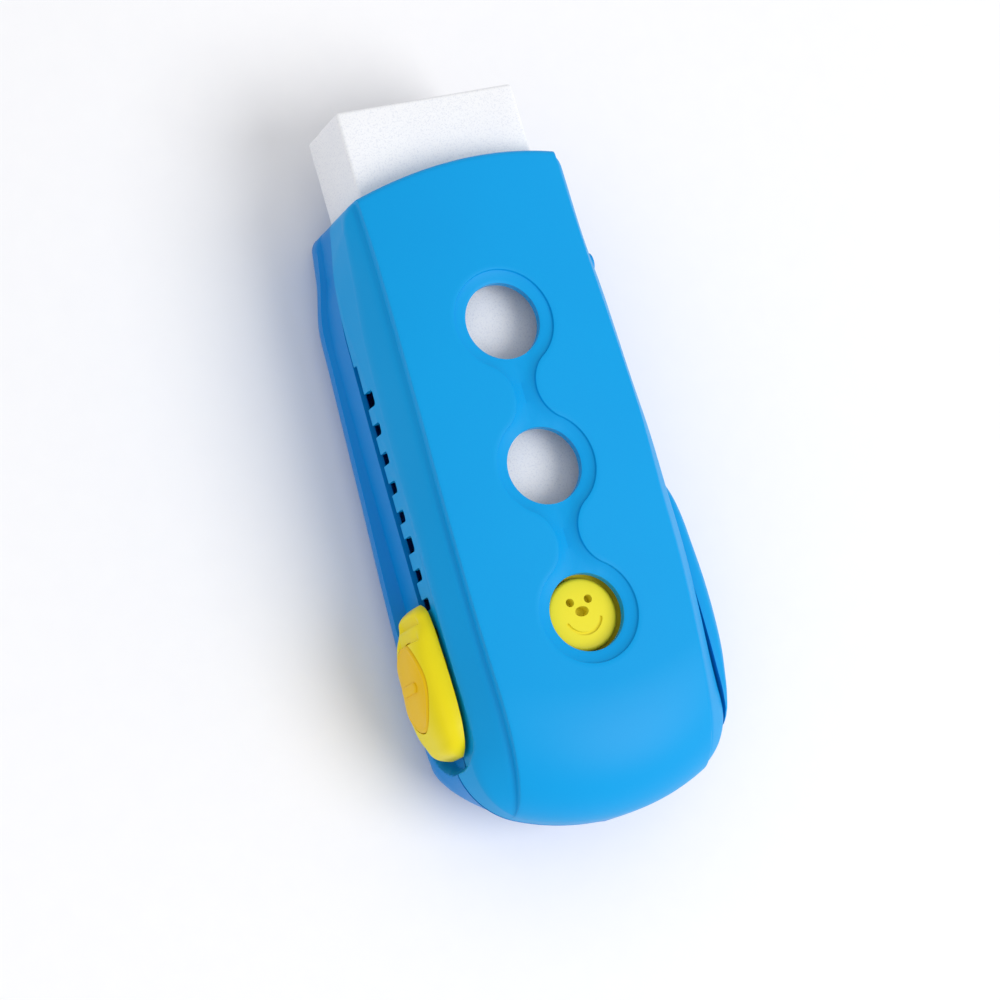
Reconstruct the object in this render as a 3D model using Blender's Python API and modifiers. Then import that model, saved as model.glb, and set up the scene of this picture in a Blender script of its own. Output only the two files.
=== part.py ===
# Sliding pencil eraser: a vinyl block in a two-part case, pushed out in clicks by a side slider.
# X runs across the case (slider on -X), Y along it (eraser tip at +Y), Z up from the rear face it rests on.

import bpy
import bmesh
import numpy as np
from math import cos, pi, radians, sin, sqrt
from mathutils import Matrix

MM = 0.001
GAP = 0.3                        # clearance between neighbouring pieces
MERGE = 0.00001

# Case, in millimetres
CASE_TOP = 34.4
CASE_BOTTOM = -43.4
CASE_DEPTH = 20.8
PARTING_Z = 10.4
WALL = 1.45
SHOULDER_WALL = 1.1
FRONT_INNER_Z = 18.8             # flat inner face that the disc slides under
REAR_INNER_Z = 1.5
TOP_ARCH_RADIUS = 50.0
BOTTOM_RADIUS = 28.0
BOTTOM_CORNER_RADIUS = 9.0
CHAMBER_TOP = 30.9
CHAMBER_BOTTOM = -41.6

# Height and half width of the case along Y: (y, value)
CROWN_HEIGHT = ((36, 19.7), (24, 20.3), (8, 20.75), (-6, 20.8), (-20, 20.75), (-29, 20.4))
CROWN_DROP = ((36, 1.6), (20, 1.25), (4, 0.8), (-20, 0.85), (-44, 1.1))
CREASE_HALF = ((36, 12.8), (26, 12.65), (10, 12.95), (-8, 13.25), (-24, 13.05), (-44, 12.6))
EDGE_HALF = ((36, 13.9), (28, 14.65), (18, 15.4), (6, 15.8), (-8, 16.2), (-24, 16.45), (-44, 16.4))
EDGE_HEIGHT = ((36, 17.6), (28, 16.1), (18, 15.3), (4, 15.25), (-8, 16.1), (-22, 15.6), (-32, 14.6))
REAR_HALF = ((36, 13.6), (30, 14.7), (24, 15.9), (16, 16.4), (2, 17.1), (-14, 17.7), (-44, 17.9))
FLOOR_HALF = ((36, 13.2), (30, 14.1), (25, 15.1), (20, 15.55), (14, 15.65), (-44, 15.65))
FRONT_ROLL_START = -29.0
FRONT_ROLL_BASE = 13.5
REAR_ROLL_START = -33.0
REAR_ROLL_HEIGHT = 6.0

# Windows and the recess that links them
WINDOW_PITCH = 17.5
FIRST_WINDOW_Y = 14.5
WINDOW_COUNT = 3
WINDOW_RADIUS = 4.56
WINDOW_RIM_Z = 19.9
RECESS_RADIUS = 6.09
RECESS_EDGE_Z = 20.4
NECK_WIDTH = 2.9
NECK_FILLET = 4.5

# Side channels, slot and notches
CHANNEL_HALF_DEPTH = 4.9         # half height of the channel about the parting plane
LEFT_CHANNEL_BOTTOM = -33.8
RIGHT_CHANNEL_BOTTOM = -36.8
CHANNEL_CORNER = 4.2
SLOT_WIDTH = 1.1
SLOT_TOP = 14.5
SLOT_BOTTOM = -31.0
NOTCH_PITCH = WINDOW_PITCH / 5
NOTCH_COUNT = 11
FIRST_NOTCH_Y = 9.9
NOTCH_LENGTH = 1.5
NOTCH_TOP_Z = 13.8
THIN_WALL = 0.6                  # wall left at the slot
RIB_YS = (20.7, 15.2, 9.5)       # finger ribs in the right channel
RIB_RADIUS = 1.3

# Eraser block and its holder
BLOCK_WIDTH = 22.7
BLOCK_DEPTH = 11.2
BLOCK_TOP = 43.4
BLOCK_BOTTOM = -31.5
BLOCK_BACK_Z = 4.75
HOLDER_WALL = 1.2
HOLDER_TOP = -15.0
DISC_RADIUS = 4.3
DISC_PEG_RADIUS = 2.6
EYE_RADIUS = 0.55
EYE_SPACING = 2.2
EYE_RISE = 1.5
NOSE_HALF_WIDTH = 0.9
NOSE_HALF_HEIGHT = 0.65
TRAVEL = 35.0

# Thumb slider, badge, click arm and grip pad
SLIDER_TOP = -14.4
SLIDER_BOTTOM = -32.4
SLIDER_HALF = 4.6
SLIDER_FACE = 19.8
SLIDER_CORNER = 3.6
BADGE_LENGTH = 10.3
BADGE_WIDTH = 8.0
BADGE_SEAT_DEPTH = 0.9
BADGE_DROP = 0.2                 # its face stands this far below the raised bar
BAR_HALF_LENGTH = 2.1
BAR_HALF_WIDTH = 0.65
BADGE_Y = -23.4
BLADE_THICKNESS = 0.5
BLADE_LIFT = 0.15                # underside of the blades above the parting plane
FORE_BLADE_LENGTH = 3.2
AFT_BLADE_LENGTH = 1.4
FOOT_THICKNESS = 0.75
FOOT_HALF_HEIGHT = 3.0
NOSE_LENGTH = 0.9
ARM_THICKNESS = 0.5
PAD_TOP = -6.8
PAD_BOTTOM = -36.4

# Shell joints
PIN_RADIUS = 1.3
PIN_XY = ((-6.5, -36.6), (6.5, -36.6))
TAB_Y = 26.0
TAB_LENGTH = 4.5
TAB_THICKNESS = 0.7
RAIL_HALF_SPACING = 8.0
RAIL_WIDTH = 1.2

LOFT_YS = (36, 33, 30, 27, 24, 20, 16, 12, 8, 4, 0, -4, -8, -12, -16, -20, -24, -28,
           -31, -33.5, -35.5, -37.5, -39.2, -40.6, -41.8, -42.7, -43.2, -43.38)


def clearScene():
    for thing in list(bpy.data.objects):
        bpy.data.objects.remove(thing, do_unlink=True)


clearScene()
partCollection = bpy.data.collections.new("sliding_eraser")
cutterCollection = bpy.data.collections.new("cutters")
bpy.context.scene.collection.children.link(partCollection)
bpy.context.scene.collection.children.link(cutterCollection)


def material(name, colour, roughness):
    made = bpy.data.materials.new(name)
    made.use_nodes = True
    shader = made.node_tree.nodes["Principled BSDF"]
    shader.inputs["Base Color"].default_value = (*colour, 1.0)
    shader.inputs["Roughness"].default_value = roughness
    shader.inputs["Metallic"].default_value = 0.0
    return made


frontBlue = material("front_blue_abs", (0.0, 0.36, 0.79), 0.38)
rearBlue = material("rear_blue_abs", (0.02, 0.27, 0.66), 0.38)
padBlue = material("pad_blue_abs", (0.0, 0.31, 0.72), 0.38)
holderYellow = material("holder_yellow_abs", (0.86, 0.72, 0.04), 0.4)
discYellow = material("disc_yellow_abs", (0.86, 0.75, 0.06), 0.4)
sliderYellow = material("slider_yellow_abs", (0.86, 0.72, 0.03), 0.36)
badgeYellow = material("badge_yellow_abs", (0.79, 0.6, 0.02), 0.4)
armYellow = material("arm_yellow_acetal", (0.82, 0.68, 0.05), 0.35)
vinylWhite = material("white_vinyl", (0.88, 0.89, 0.92), 0.75)


def smoothAt(stations, y):
    """Value at y on a smooth curve through the stations, level with the end ones outside them."""
    ordered = sorted(stations)
    ys = np.array([s[0] for s in ordered], float)
    values = np.array([s[1] for s in ordered], float)
    slopes = np.gradient(values, ys)
    y = min(max(y, ys[0]), ys[-1])
    i = min(int(np.searchsorted(ys, y, side="right")) - 1, len(ys) - 2)
    span = ys[i + 1] - ys[i]
    t = (y - ys[i]) / span
    start = (1 + 2 * t) * (1 - t) ** 2 * values[i] + t * (1 - t) ** 2 * span * slopes[i]
    end = t * t * (3 - 2 * t) * values[i + 1] + t * t * (t - 1) * span * slopes[i + 1]
    return float(start + end)


def link(thing, collection):
    collection.objects.link(thing)
    return thing


def meshObject(name, mesh, collection, look=None):
    thing = link(bpy.data.objects.new(name, mesh), collection)
    if look:
        mesh.materials.append(look)
    if collection is cutterCollection:
        thing.hide_render = True
        thing.display_type = "WIRE"
    return thing


def loft(name, rings, collection, look=None):
    """Closed body through rings of the same number of points, in millimetres."""
    bm = bmesh.new()
    made = [[bm.verts.new([c * MM for c in point]) for point in ring] for ring in rings]
    for first, second in zip(made, made[1:]):
        for i in range(len(first)):
            j = (i + 1) % len(first)
            bm.faces.new((first[i], first[j], second[j], second[i]))
    bm.faces.new(made[0])
    bm.faces.new(made[-1])
    bmesh.ops.recalc_face_normals(bm, faces=bm.faces)
    mesh = bpy.data.meshes.new(name)
    bm.to_mesh(mesh)
    bm.free()
    return meshObject(name, mesh, collection, look)


def box(name, low, high, collection, look=None):
    bm = bmesh.new()
    size = [(b - a) * MM for a, b in zip(low, high)]
    centre = [(a + b) / 2 * MM for a, b in zip(low, high)]
    bmesh.ops.create_cube(bm, size=1.0, matrix=Matrix.Translation(centre) @ Matrix.Diagonal((*size, 1.0)))
    mesh = bpy.data.meshes.new(name)
    bm.to_mesh(mesh)
    bm.free()
    return meshObject(name, mesh, collection, look)


def roundSolid(name, centre, lowZ, highZ, lowRadius, highRadius, collection, look=None, segments=48):
    """Upright cylinder or cone with capped ends."""
    bm = bmesh.new()
    place = Matrix.Translation((centre[0] * MM, centre[1] * MM, (lowZ + highZ) / 2 * MM))
    bmesh.ops.create_cone(bm, cap_ends=True, segments=segments, radius1=lowRadius * MM,
                          radius2=highRadius * MM, depth=(highZ - lowZ) * MM, matrix=place)
    mesh = bpy.data.meshes.new(name)
    bm.to_mesh(mesh)
    bm.free()
    return meshObject(name, mesh, collection, look)


def outlineSolid(name, points, low, high, collection, look=None, turn=None):
    """Flat outline, filled and given a thickness from low to high along its own Z, then turned."""
    curve = bpy.data.curves.new(name, "CURVE")
    curve.dimensions = "2D"
    curve.fill_mode = "BOTH"
    curve.extrude = (high - low) / 2 * MM
    spline = curve.splines.new("POLY")
    spline.points.add(len(points) - 1)
    for made, point in zip(spline.points, points):
        made.co = (point[0] * MM, point[1] * MM, 0.0, 1.0)
    spline.use_cyclic_u = True
    guide = link(bpy.data.objects.new(name + "_outline", curve), cutterCollection)
    guide.matrix_world = (turn or Matrix()) @ Matrix.Translation((0, 0, (low + high) / 2 * MM))
    bpy.context.view_layer.update()
    seen = guide.evaluated_get(bpy.context.evaluated_depsgraph_get())
    mesh = bpy.data.meshes.new_from_object(seen)
    place = guide.matrix_world.copy()
    bpy.data.objects.remove(guide, do_unlink=True)
    bm = bmesh.new()
    bm.from_mesh(mesh)
    bmesh.ops.remove_doubles(bm, verts=bm.verts, dist=MERGE)
    bmesh.ops.recalc_face_normals(bm, faces=bm.faces)
    bm.to_mesh(mesh)
    bm.free()
    thing = meshObject(name, mesh, collection, look)
    thing.matrix_world = place
    return thing


# Turns an outline drawn as (y, z) so that its thickness runs along X
ALONG_X = Matrix(((0, 0, 1, 0), (1, 0, 0, 0), (0, 1, 0, 0), (0, 0, 0, 1)))


def join(target, other, operation="DIFFERENCE"):
    step = target.modifiers.new(other.name, "BOOLEAN")
    step.operation = operation
    step.solver = "EXACT"
    step.object = other


def bevel(target, width, segments=2, angle=40):
    edges = target.modifiers.new("edges", "BEVEL")
    edges.width = width * MM
    edges.segments = segments
    edges.limit_method = "ANGLE"
    edges.angle_limit = radians(angle)


def shadeSmooth(target, angle=35):
    target.data.shade_smooth()
    target.data.set_sharp_from_angle(angle=radians(angle))


def arc(cx, cy, radius, start, end, steps):
    angles = [start + (end - start) * i / steps for i in range(steps + 1)]
    return [(cx + radius * cos(a), cy + radius * sin(a)) for a in angles]


def ellipse(cx, cy, halfX, halfY, steps):
    return [(cx + halfX * cos(2 * pi * i / steps), cy + halfY * sin(2 * pi * i / steps)) for i in range(steps)]


# Case outline and sections

def endFactor(y, half):
    """How much of its half width the case keeps at y, where the lower end is round."""
    centreY = CASE_BOTTOM + BOTTOM_RADIUS
    inner = half - BOTTOM_CORNER_RADIUS
    reach = BOTTOM_RADIUS - BOTTOM_CORNER_RADIUS
    cornerY = centreY - sqrt(reach ** 2 - inner ** 2)
    if y >= cornerY:
        return 1.0
    joinY = centreY + (cornerY - centreY) * BOTTOM_RADIUS / reach
    if y > joinY:
        return (inner + sqrt(BOTTOM_CORNER_RADIUS ** 2 - (y - cornerY) ** 2)) / half
    return sqrt(max(BOTTOM_RADIUS ** 2 - (y - centreY) ** 2, 0.0)) / half


def rolled(y, start, span):
    """1 above the start of a rolled end, falling round a quarter ellipse to 0 at its foot."""
    if y >= start:
        return 1.0
    return sqrt(max(1.0 - ((start - y) / span) ** 2, 0.0))


def frontPoints(y, inset):
    """Right-hand half of the front section at y, from the centre out to the parting plane."""
    frontRoll = rolled(y, FRONT_ROLL_START, FRONT_ROLL_START - CASE_BOTTOM + 0.2)
    crown = FRONT_ROLL_BASE + (smoothAt(CROWN_HEIGHT, y) - FRONT_ROLL_BASE) * frontRoll
    drop = smoothAt(CROWN_DROP, y)
    crease = smoothAt(CREASE_HALF, y)
    edge = smoothAt(EDGE_HALF, y)
    edgeZ = min(smoothAt(EDGE_HEIGHT, y), crown - drop - 0.3)
    rear = smoothAt(REAR_HALF, y)
    middle = (edge + rear) / 2
    keep = endFactor(y, middle)
    bandX = crease + 0.55 * (edge - crease)
    bandZ = edgeZ + 0.62 * (crown - drop - edgeZ)
    outer = [(0.0, crown), (0.45 * crease, crown - 0.2 * drop), (0.78 * crease, crown - 0.6 * drop),
             (crease, crown - drop), (bandX, bandZ), (edge, edgeZ), (middle, PARTING_Z)]
    if not inset:
        return [(x * keep, z) for x, z in outer]
    floor = smoothAt(FLOOR_HALF, y)
    side = (floor - inset) * keep
    ceiling = min(crown - inset, FRONT_INNER_Z)
    shoulder = min(crown - drop - SHOULDER_WALL, ceiling)
    return [(0.0, ceiling), (side * 0.3, ceiling), (side * 0.6, ceiling), (side - 1.6, shoulder),
            (side - 0.4, shoulder - 2.2), (side, shoulder - 4.2), (side, PARTING_Z)]


def rearPoints(y, inset):
    """Right-hand half of the rear section at y, from the parting plane in to the centre."""
    edge = smoothAt(EDGE_HALF, y)
    rear = smoothAt(REAR_HALF, y)
    middle = (edge + rear) / 2
    keep = endFactor(y, middle)
    lift = REAR_ROLL_HEIGHT * (1.0 - rolled(y, REAR_ROLL_START, REAR_ROLL_START - CASE_BOTTOM + 0.2))
    outer = [(middle, PARTING_Z), (rear, 5.0), (rear - 0.35, 3.0), (rear - 1.6, 1.1), (rear - 3.4, 0.25),
             (rear - 5.0, 0.0), (0.0, 0.0)]
    if not inset:
        return [(x * keep, z + lift * (PARTING_Z - z) / PARTING_Z) for x, z in outer]
    side = (smoothAt(FLOOR_HALF, y) - inset) * keep
    floorZ = REAR_INNER_Z + lift
    return [(side, PARTING_Z), (side, floorZ + 3.1), (side - 0.5, floorZ + 1.7), (side - 1.6, floorZ + 0.5),
            (side - 3.0, floorZ), (side * 0.5, floorZ), (0.0, floorZ)]


def mirroredRing(y, half):
    """Full closed ring from a right-hand half whose ends may lie on the centre plane."""
    left = [(-x, z) for x, z in reversed(half) if x > 1e-6]
    return [(x, y, z) for x, z in half + left]


def halfShell(name, look, points, joinZ):
    """Loft of one half of the case, closed by a flat face just off the parting plane."""
    rings = []
    for y in LOFT_YS:
        half = [(x, joinZ if z == PARTING_Z else z) for x, z in points(y, 0.0)]
        rings.append(mirroredRing(y, half))
    return loft(name, rings, partCollection, look)


def chamberCutter():
    """Hollow inside both shells, from the lower end to the top wall."""
    ys = [CHAMBER_TOP] + [y for y in LOFT_YS if CHAMBER_BOTTOM < y < CHAMBER_TOP] + [CHAMBER_BOTTOM]
    rings = []
    for y in ys:
        half = frontPoints(y, WALL) + rearPoints(y, WALL)[1:]
        rings.append(mirroredRing(y, half))
    return loft("chamber_cutter", rings, cutterCollection)


def topArchCutter():
    """Everything above the arched top end."""
    half = smoothAt(EDGE_HALF, CASE_TOP) + 3.5
    centreY = CASE_TOP - TOP_ARCH_RADIUS
    swing = 0.42
    arch = arc(0.0, centreY, TOP_ARCH_RADIUS, pi / 2 - swing, pi / 2 + swing, 27)
    outline = arch + [(-half - 8, CASE_TOP + 20), (half + 8, CASE_TOP + 20)]
    return outlineSolid("top_arch_cutter", outline, -5.0, CASE_DEPTH + 5.0, cutterCollection)


def channelCutter(name, side, bottom):
    """Side channel: its floor follows the case and its lower end is round."""
    low = PARTING_Z - CHANNEL_HALF_DEPTH
    high = PARTING_Z + CHANNEL_HALF_DEPTH
    ys = [40.0] + [float(y) for y in range(36, -28, -4)] + [bottom]
    rings = []
    for y in ys:
        inner = side * smoothAt(FLOOR_HALF, y)
        outer = side * 26.0
        rings.append([(inner, y, low), (outer, y, low), (outer, y, high), (inner, y, high)])
    cutter = loft(name, rings, cutterCollection)
    corner = CHANNEL_CORNER
    outline = [(45.0, low - 1), (45.0, high + 1), (bottom + corner, high + 1)]
    outline += arc(bottom + corner, high - corner, corner, pi / 2, pi, 8)
    outline += arc(bottom + corner, low + corner, corner, pi, 3 * pi / 2, 8)
    outline += [(bottom + corner, low - 1)]
    ends = sorted((side * 10.0, side * 30.0))
    shape = outlineSolid(name + "_end", outline, ends[0], ends[1], cutterCollection, turn=ALONG_X)
    join(cutter, shape, "INTERSECT")
    return cutter


def recessOutline():
    """Three rings joined by necks, each neck filleted into the rings."""
    centres = [FIRST_WINDOW_Y - WINDOW_PITCH * i for i in range(WINDOW_COUNT)]
    filletX = NECK_WIDTH / 2 + NECK_FILLET
    filletAngle = np.arctan2(WINDOW_PITCH / 2, filletX)
    right = []
    for i, y in enumerate(centres):
        start = filletAngle if i else pi / 2
        end = -filletAngle if i < WINDOW_COUNT - 1 else -pi / 2
        right += arc(0.0, y, RECESS_RADIUS, start, end, 14)
        if i < WINDOW_COUNT - 1:
            right += arc(filletX, y - WINDOW_PITCH / 2, NECK_FILLET, pi - filletAngle, pi + filletAngle, 6)
    left = [(-x, y) for x, y in reversed(right) if abs(x) > 1e-6]
    return right + left


def notchOutline():
    """Slot with its row of notches, drawn as (y, z)."""
    low = PARTING_Z - 0.5
    teeth = PARTING_Z + SLOT_WIDTH
    half = NOTCH_LENGTH / 2
    outline = [(SLOT_BOTTOM, low), (SLOT_TOP, low), (SLOT_TOP, teeth)]
    for i in range(NOTCH_COUNT):
        y = FIRST_NOTCH_Y - NOTCH_PITCH * i
        outline += [(y + half, teeth), (y + half, NOTCH_TOP_Z - 0.4), (y + half - 0.4, NOTCH_TOP_Z),
                    (y - half, NOTCH_TOP_Z), (y - half, teeth)]
    outline += [(SLOT_BOTTOM, teeth)]
    return outline


def thinWallCutter():
    """Shallow pocket inside the left wall, which leaves it thin at the slot."""
    floor = smoothAt(FLOOR_HALF, 0.0)
    low = (-floor + THIN_WALL, SLOT_BOTTOM - 0.6, PARTING_Z - 1.6)
    high = (-floor + WALL + 0.4, SLOT_TOP + 0.4, NOTCH_TOP_Z + 1.0)
    return box("thin_wall_cutter", low, high, cutterCollection)


def mouthCutter():
    half = BLOCK_WIDTH / 2 + GAP
    low = (-half, CHAMBER_TOP - 2.0, BLOCK_BACK_Z - GAP)
    high = (half, CASE_TOP + 3.0, BLOCK_BACK_Z + BLOCK_DEPTH + GAP)
    return box("mouth_cutter", low, high, cutterCollection)


def ribsFor(shell, low, high, tag):
    """Half of each finger rib in the right channel, joined to its shell."""
    for i, y in enumerate(RIB_YS):
        floor = smoothAt(FLOOR_HALF, y)
        outline = arc(floor - 0.7, y, RIB_RADIUS, -pi / 2, pi / 2, 8)
        rib = outlineSolid(f"rib_{tag}_{i}", outline, low, high, cutterCollection)
        join(shell, rib, "UNION")


def makeShells():
    front = halfShell("front_shell", frontBlue, frontPoints, PARTING_Z + GAP / 2)
    rear = halfShell("rear_shell", rearBlue, rearPoints, PARTING_Z - GAP / 2)
    chamber = chamberCutter()
    arch = topArchCutter()
    mouth = mouthCutter()
    channels = (channelCutter("left_channel_cutter", -1, LEFT_CHANNEL_BOTTOM),
                channelCutter("right_channel_cutter", 1, RIGHT_CHANNEL_BOTTOM))
    thin = thinWallCutter()
    for shell in (front, rear):
        join(shell, arch)
        join(shell, chamber)
        join(shell, mouth)
        for channel in channels:
            join(shell, channel)
        join(shell, thin)
    addFrontDetails(front)
    addRearDetails(rear)
    shadeSmooth(front)
    shadeSmooth(rear)


def addFrontDetails(front):
    recess = outlineSolid("recess_cutter", recessOutline(), RECESS_EDGE_Z, CASE_DEPTH + 2, cutterCollection)
    join(front, recess)
    dish = ((WINDOW_RADIUS, FRONT_INNER_Z - 2), (WINDOW_RADIUS, WINDOW_RIM_Z),
            (RECESS_RADIUS - 0.12, RECESS_EDGE_Z + 0.05), (RECESS_RADIUS - 0.12, CASE_DEPTH + 2))
    for i in range(WINDOW_COUNT):
        centreY = FIRST_WINDOW_Y - WINDOW_PITCH * i
        rings = [[(x, y, z) for x, y in ellipse(0.0, centreY, radius, radius, 48)] for radius, z in dish]
        join(front, loft(f"window_cutter_{i}", rings, cutterCollection))
    slot = outlineSolid("slot_cutter", notchOutline(), -20.0, -12.0, cutterCollection, turn=ALONG_X)
    join(front, slot)
    ribsFor(front, PARTING_Z + GAP / 2, PARTING_Z + CHANNEL_HALF_DEPTH - 0.6, "front")
    for i, centre in enumerate(PIN_XY):
        ceiling = frontPoints(centre[1], WALL)[0][1]
        boss = roundSolid(f"socket_{i}", centre, PARTING_Z + GAP / 2, ceiling + 0.1, PIN_RADIUS + 1.3,
                          PIN_RADIUS + 1.3, cutterCollection, segments=24)
        bore = roundSolid(f"socket_bore_{i}", centre, PARTING_Z - 1, PARTING_Z + 4.5, PIN_RADIUS + GAP,
                          PIN_RADIUS + GAP, cutterCollection, segments=24)
        join(front, boss, "UNION")
        join(front, bore)


def addRearDetails(rear):
    for i, centre in enumerate(PIN_XY):
        floorZ = rearPoints(centre[1], WALL)[-1][1]
        pin = roundSolid(f"pin_{i}", centre, floorZ - 0.6, PARTING_Z + 3.6, PIN_RADIUS, PIN_RADIUS,
                         cutterCollection, segments=24)
        join(rear, pin, "UNION")
    for side in (-1, 1):
        railX = sorted((side * RAIL_HALF_SPACING, side * (RAIL_HALF_SPACING + RAIL_WIDTH)))
        railTop = BLOCK_BACK_Z - GAP - HOLDER_WALL - GAP
        rail = box(f"rail_{side}", (railX[0], -34.0, REAR_INNER_Z - 0.6), (railX[1], CHAMBER_TOP - 1, railTop),
                   cutterCollection)
        join(rear, rail, "UNION")
        inner = smoothAt(FLOOR_HALF, TAB_Y + TAB_LENGTH / 2) - WALL - 0.35
        tabX = sorted((side * inner, side * (inner - TAB_THICKNESS)))
        tab = box(f"tab_{side}", (tabX[0], TAB_Y - TAB_LENGTH / 2, REAR_INNER_Z - 0.6),
                  (tabX[1], TAB_Y + TAB_LENGTH / 2, PARTING_Z + 3.0), cutterCollection)
        join(rear, tab, "UNION")
    ribsFor(rear, PARTING_Z - CHANNEL_HALF_DEPTH + 0.6, PARTING_Z - GAP / 2, "rear")


# Everything that slides is parented to this empty, on the middle of the slot
carriage = link(bpy.data.objects.new("slide_carriage", None), partCollection)
carriage.location = (0.0, 0.0, PARTING_Z * MM)


def ride(thing, parent=carriage):
    bpy.context.view_layer.update()
    thing.parent = parent
    thing.matrix_parent_inverse = parent.matrix_world.inverted()


def makeBlock():
    half = BLOCK_WIDTH / 2
    low = (-half, BLOCK_BOTTOM, BLOCK_BACK_Z)
    high = (half, BLOCK_TOP, BLOCK_BACK_Z + BLOCK_DEPTH)
    block = box("eraser_block", low, high, partCollection, vinylWhite)
    bevel(block, 0.45)
    ride(block)


def makeHolder():
    """Open-topped tray round the lower part of the block, with a plate that carries the face."""
    half = BLOCK_WIDTH / 2 + GAP
    wall = HOLDER_WALL
    back = BLOCK_BACK_Z - GAP
    front = BLOCK_BACK_Z + BLOCK_DEPTH + GAP
    bottom = BLOCK_BOTTOM - GAP
    holder = box("eraser_holder", (-half - wall, bottom - wall, back - wall), (half + wall, HOLDER_TOP, front + wall),
                 partCollection, holderYellow)
    bevel(holder, 0.4)
    inside = box("holder_inside", (-half, bottom, back), (half, HOLDER_TOP + 5, front), cutterCollection)
    ride(inside)
    join(holder, inside)
    # Hole in the front plate for the disc's peg
    faceY = FIRST_WINDOW_Y - WINDOW_PITCH * (WINDOW_COUNT - 1)
    peg = roundSolid("holder_peg_hole", (0.0, faceY), front - 1, front + wall + 1, DISC_PEG_RADIUS + GAP,
                     DISC_PEG_RADIUS + GAP, cutterCollection)
    ride(peg)
    join(holder, peg)
    ride(holder)


def makeDisc():
    """Yellow face with two eyes, a nose and a smile, on a short peg."""
    faceY = FIRST_WINDOW_Y - WINDOW_PITCH * (WINDOW_COUNT - 1)
    plateTop = BLOCK_BACK_Z + BLOCK_DEPTH + GAP + HOLDER_WALL
    low = plateTop + GAP
    high = FRONT_INNER_Z - GAP
    disc = roundSolid("face_disc", (0.0, faceY), low, high, DISC_RADIUS, DISC_RADIUS, partCollection, discYellow)
    peg = roundSolid("disc_peg", (0.0, faceY), BLOCK_BACK_Z + BLOCK_DEPTH + GAP, low + 0.2, DISC_PEG_RADIUS,
                     DISC_PEG_RADIUS, cutterCollection)
    join(disc, peg, "UNION")
    for side in (-1, 1):
        eye = roundSolid(f"eye_cutter_{side}", (side * EYE_SPACING / 2, faceY + EYE_RISE), low - 4, high + 1,
                         EYE_RADIUS, EYE_RADIUS, cutterCollection, segments=20)
        join(disc, eye)
        ride(eye)
    nose = outlineSolid("nose_cutter", ellipse(0.0, faceY, NOSE_HALF_WIDTH, NOSE_HALF_HEIGHT, 20), low - 4,
                        high + 1, cutterCollection)
    join(disc, nose)
    smile = arc(0.0, faceY, 2.45, pi * 1.15, pi * 1.85, 14) + arc(0.0, faceY, 1.95, pi * 1.85, pi * 1.15, 14)
    mouth = outlineSolid("smile_cutter", smile, high - 0.25, high + 1, cutterCollection)
    join(disc, mouth)
    for thing in (peg, nose, mouth, disc):
        ride(thing)
    shadeSmooth(disc)


def sliderOutline():
    """Plan of the slider from its back to its thumb face, drawn as (x, y), with two thumb steps."""
    base = smoothAt(FLOOR_HALF, 0.0) + GAP
    face = SLIDER_FACE
    return [(-base, SLIDER_TOP), (-base - 1.5, SLIDER_TOP - 0.3), (-base - 2.2, SLIDER_TOP - 2.0),
            (-base - 2.2, SLIDER_TOP - 2.3), (-face + 0.75, SLIDER_TOP - 3.3), (-face + 0.75, SLIDER_TOP - 3.7),
            (-face + 0.1, SLIDER_TOP - 4.6), (-face, SLIDER_TOP - 9.0), (-face + 0.25, SLIDER_BOTTOM + 4.5),
            (-face + 1.0, SLIDER_BOTTOM + 1.6), (-face + 2.2, SLIDER_BOTTOM + 0.4), (-base, SLIDER_BOTTOM)]


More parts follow.
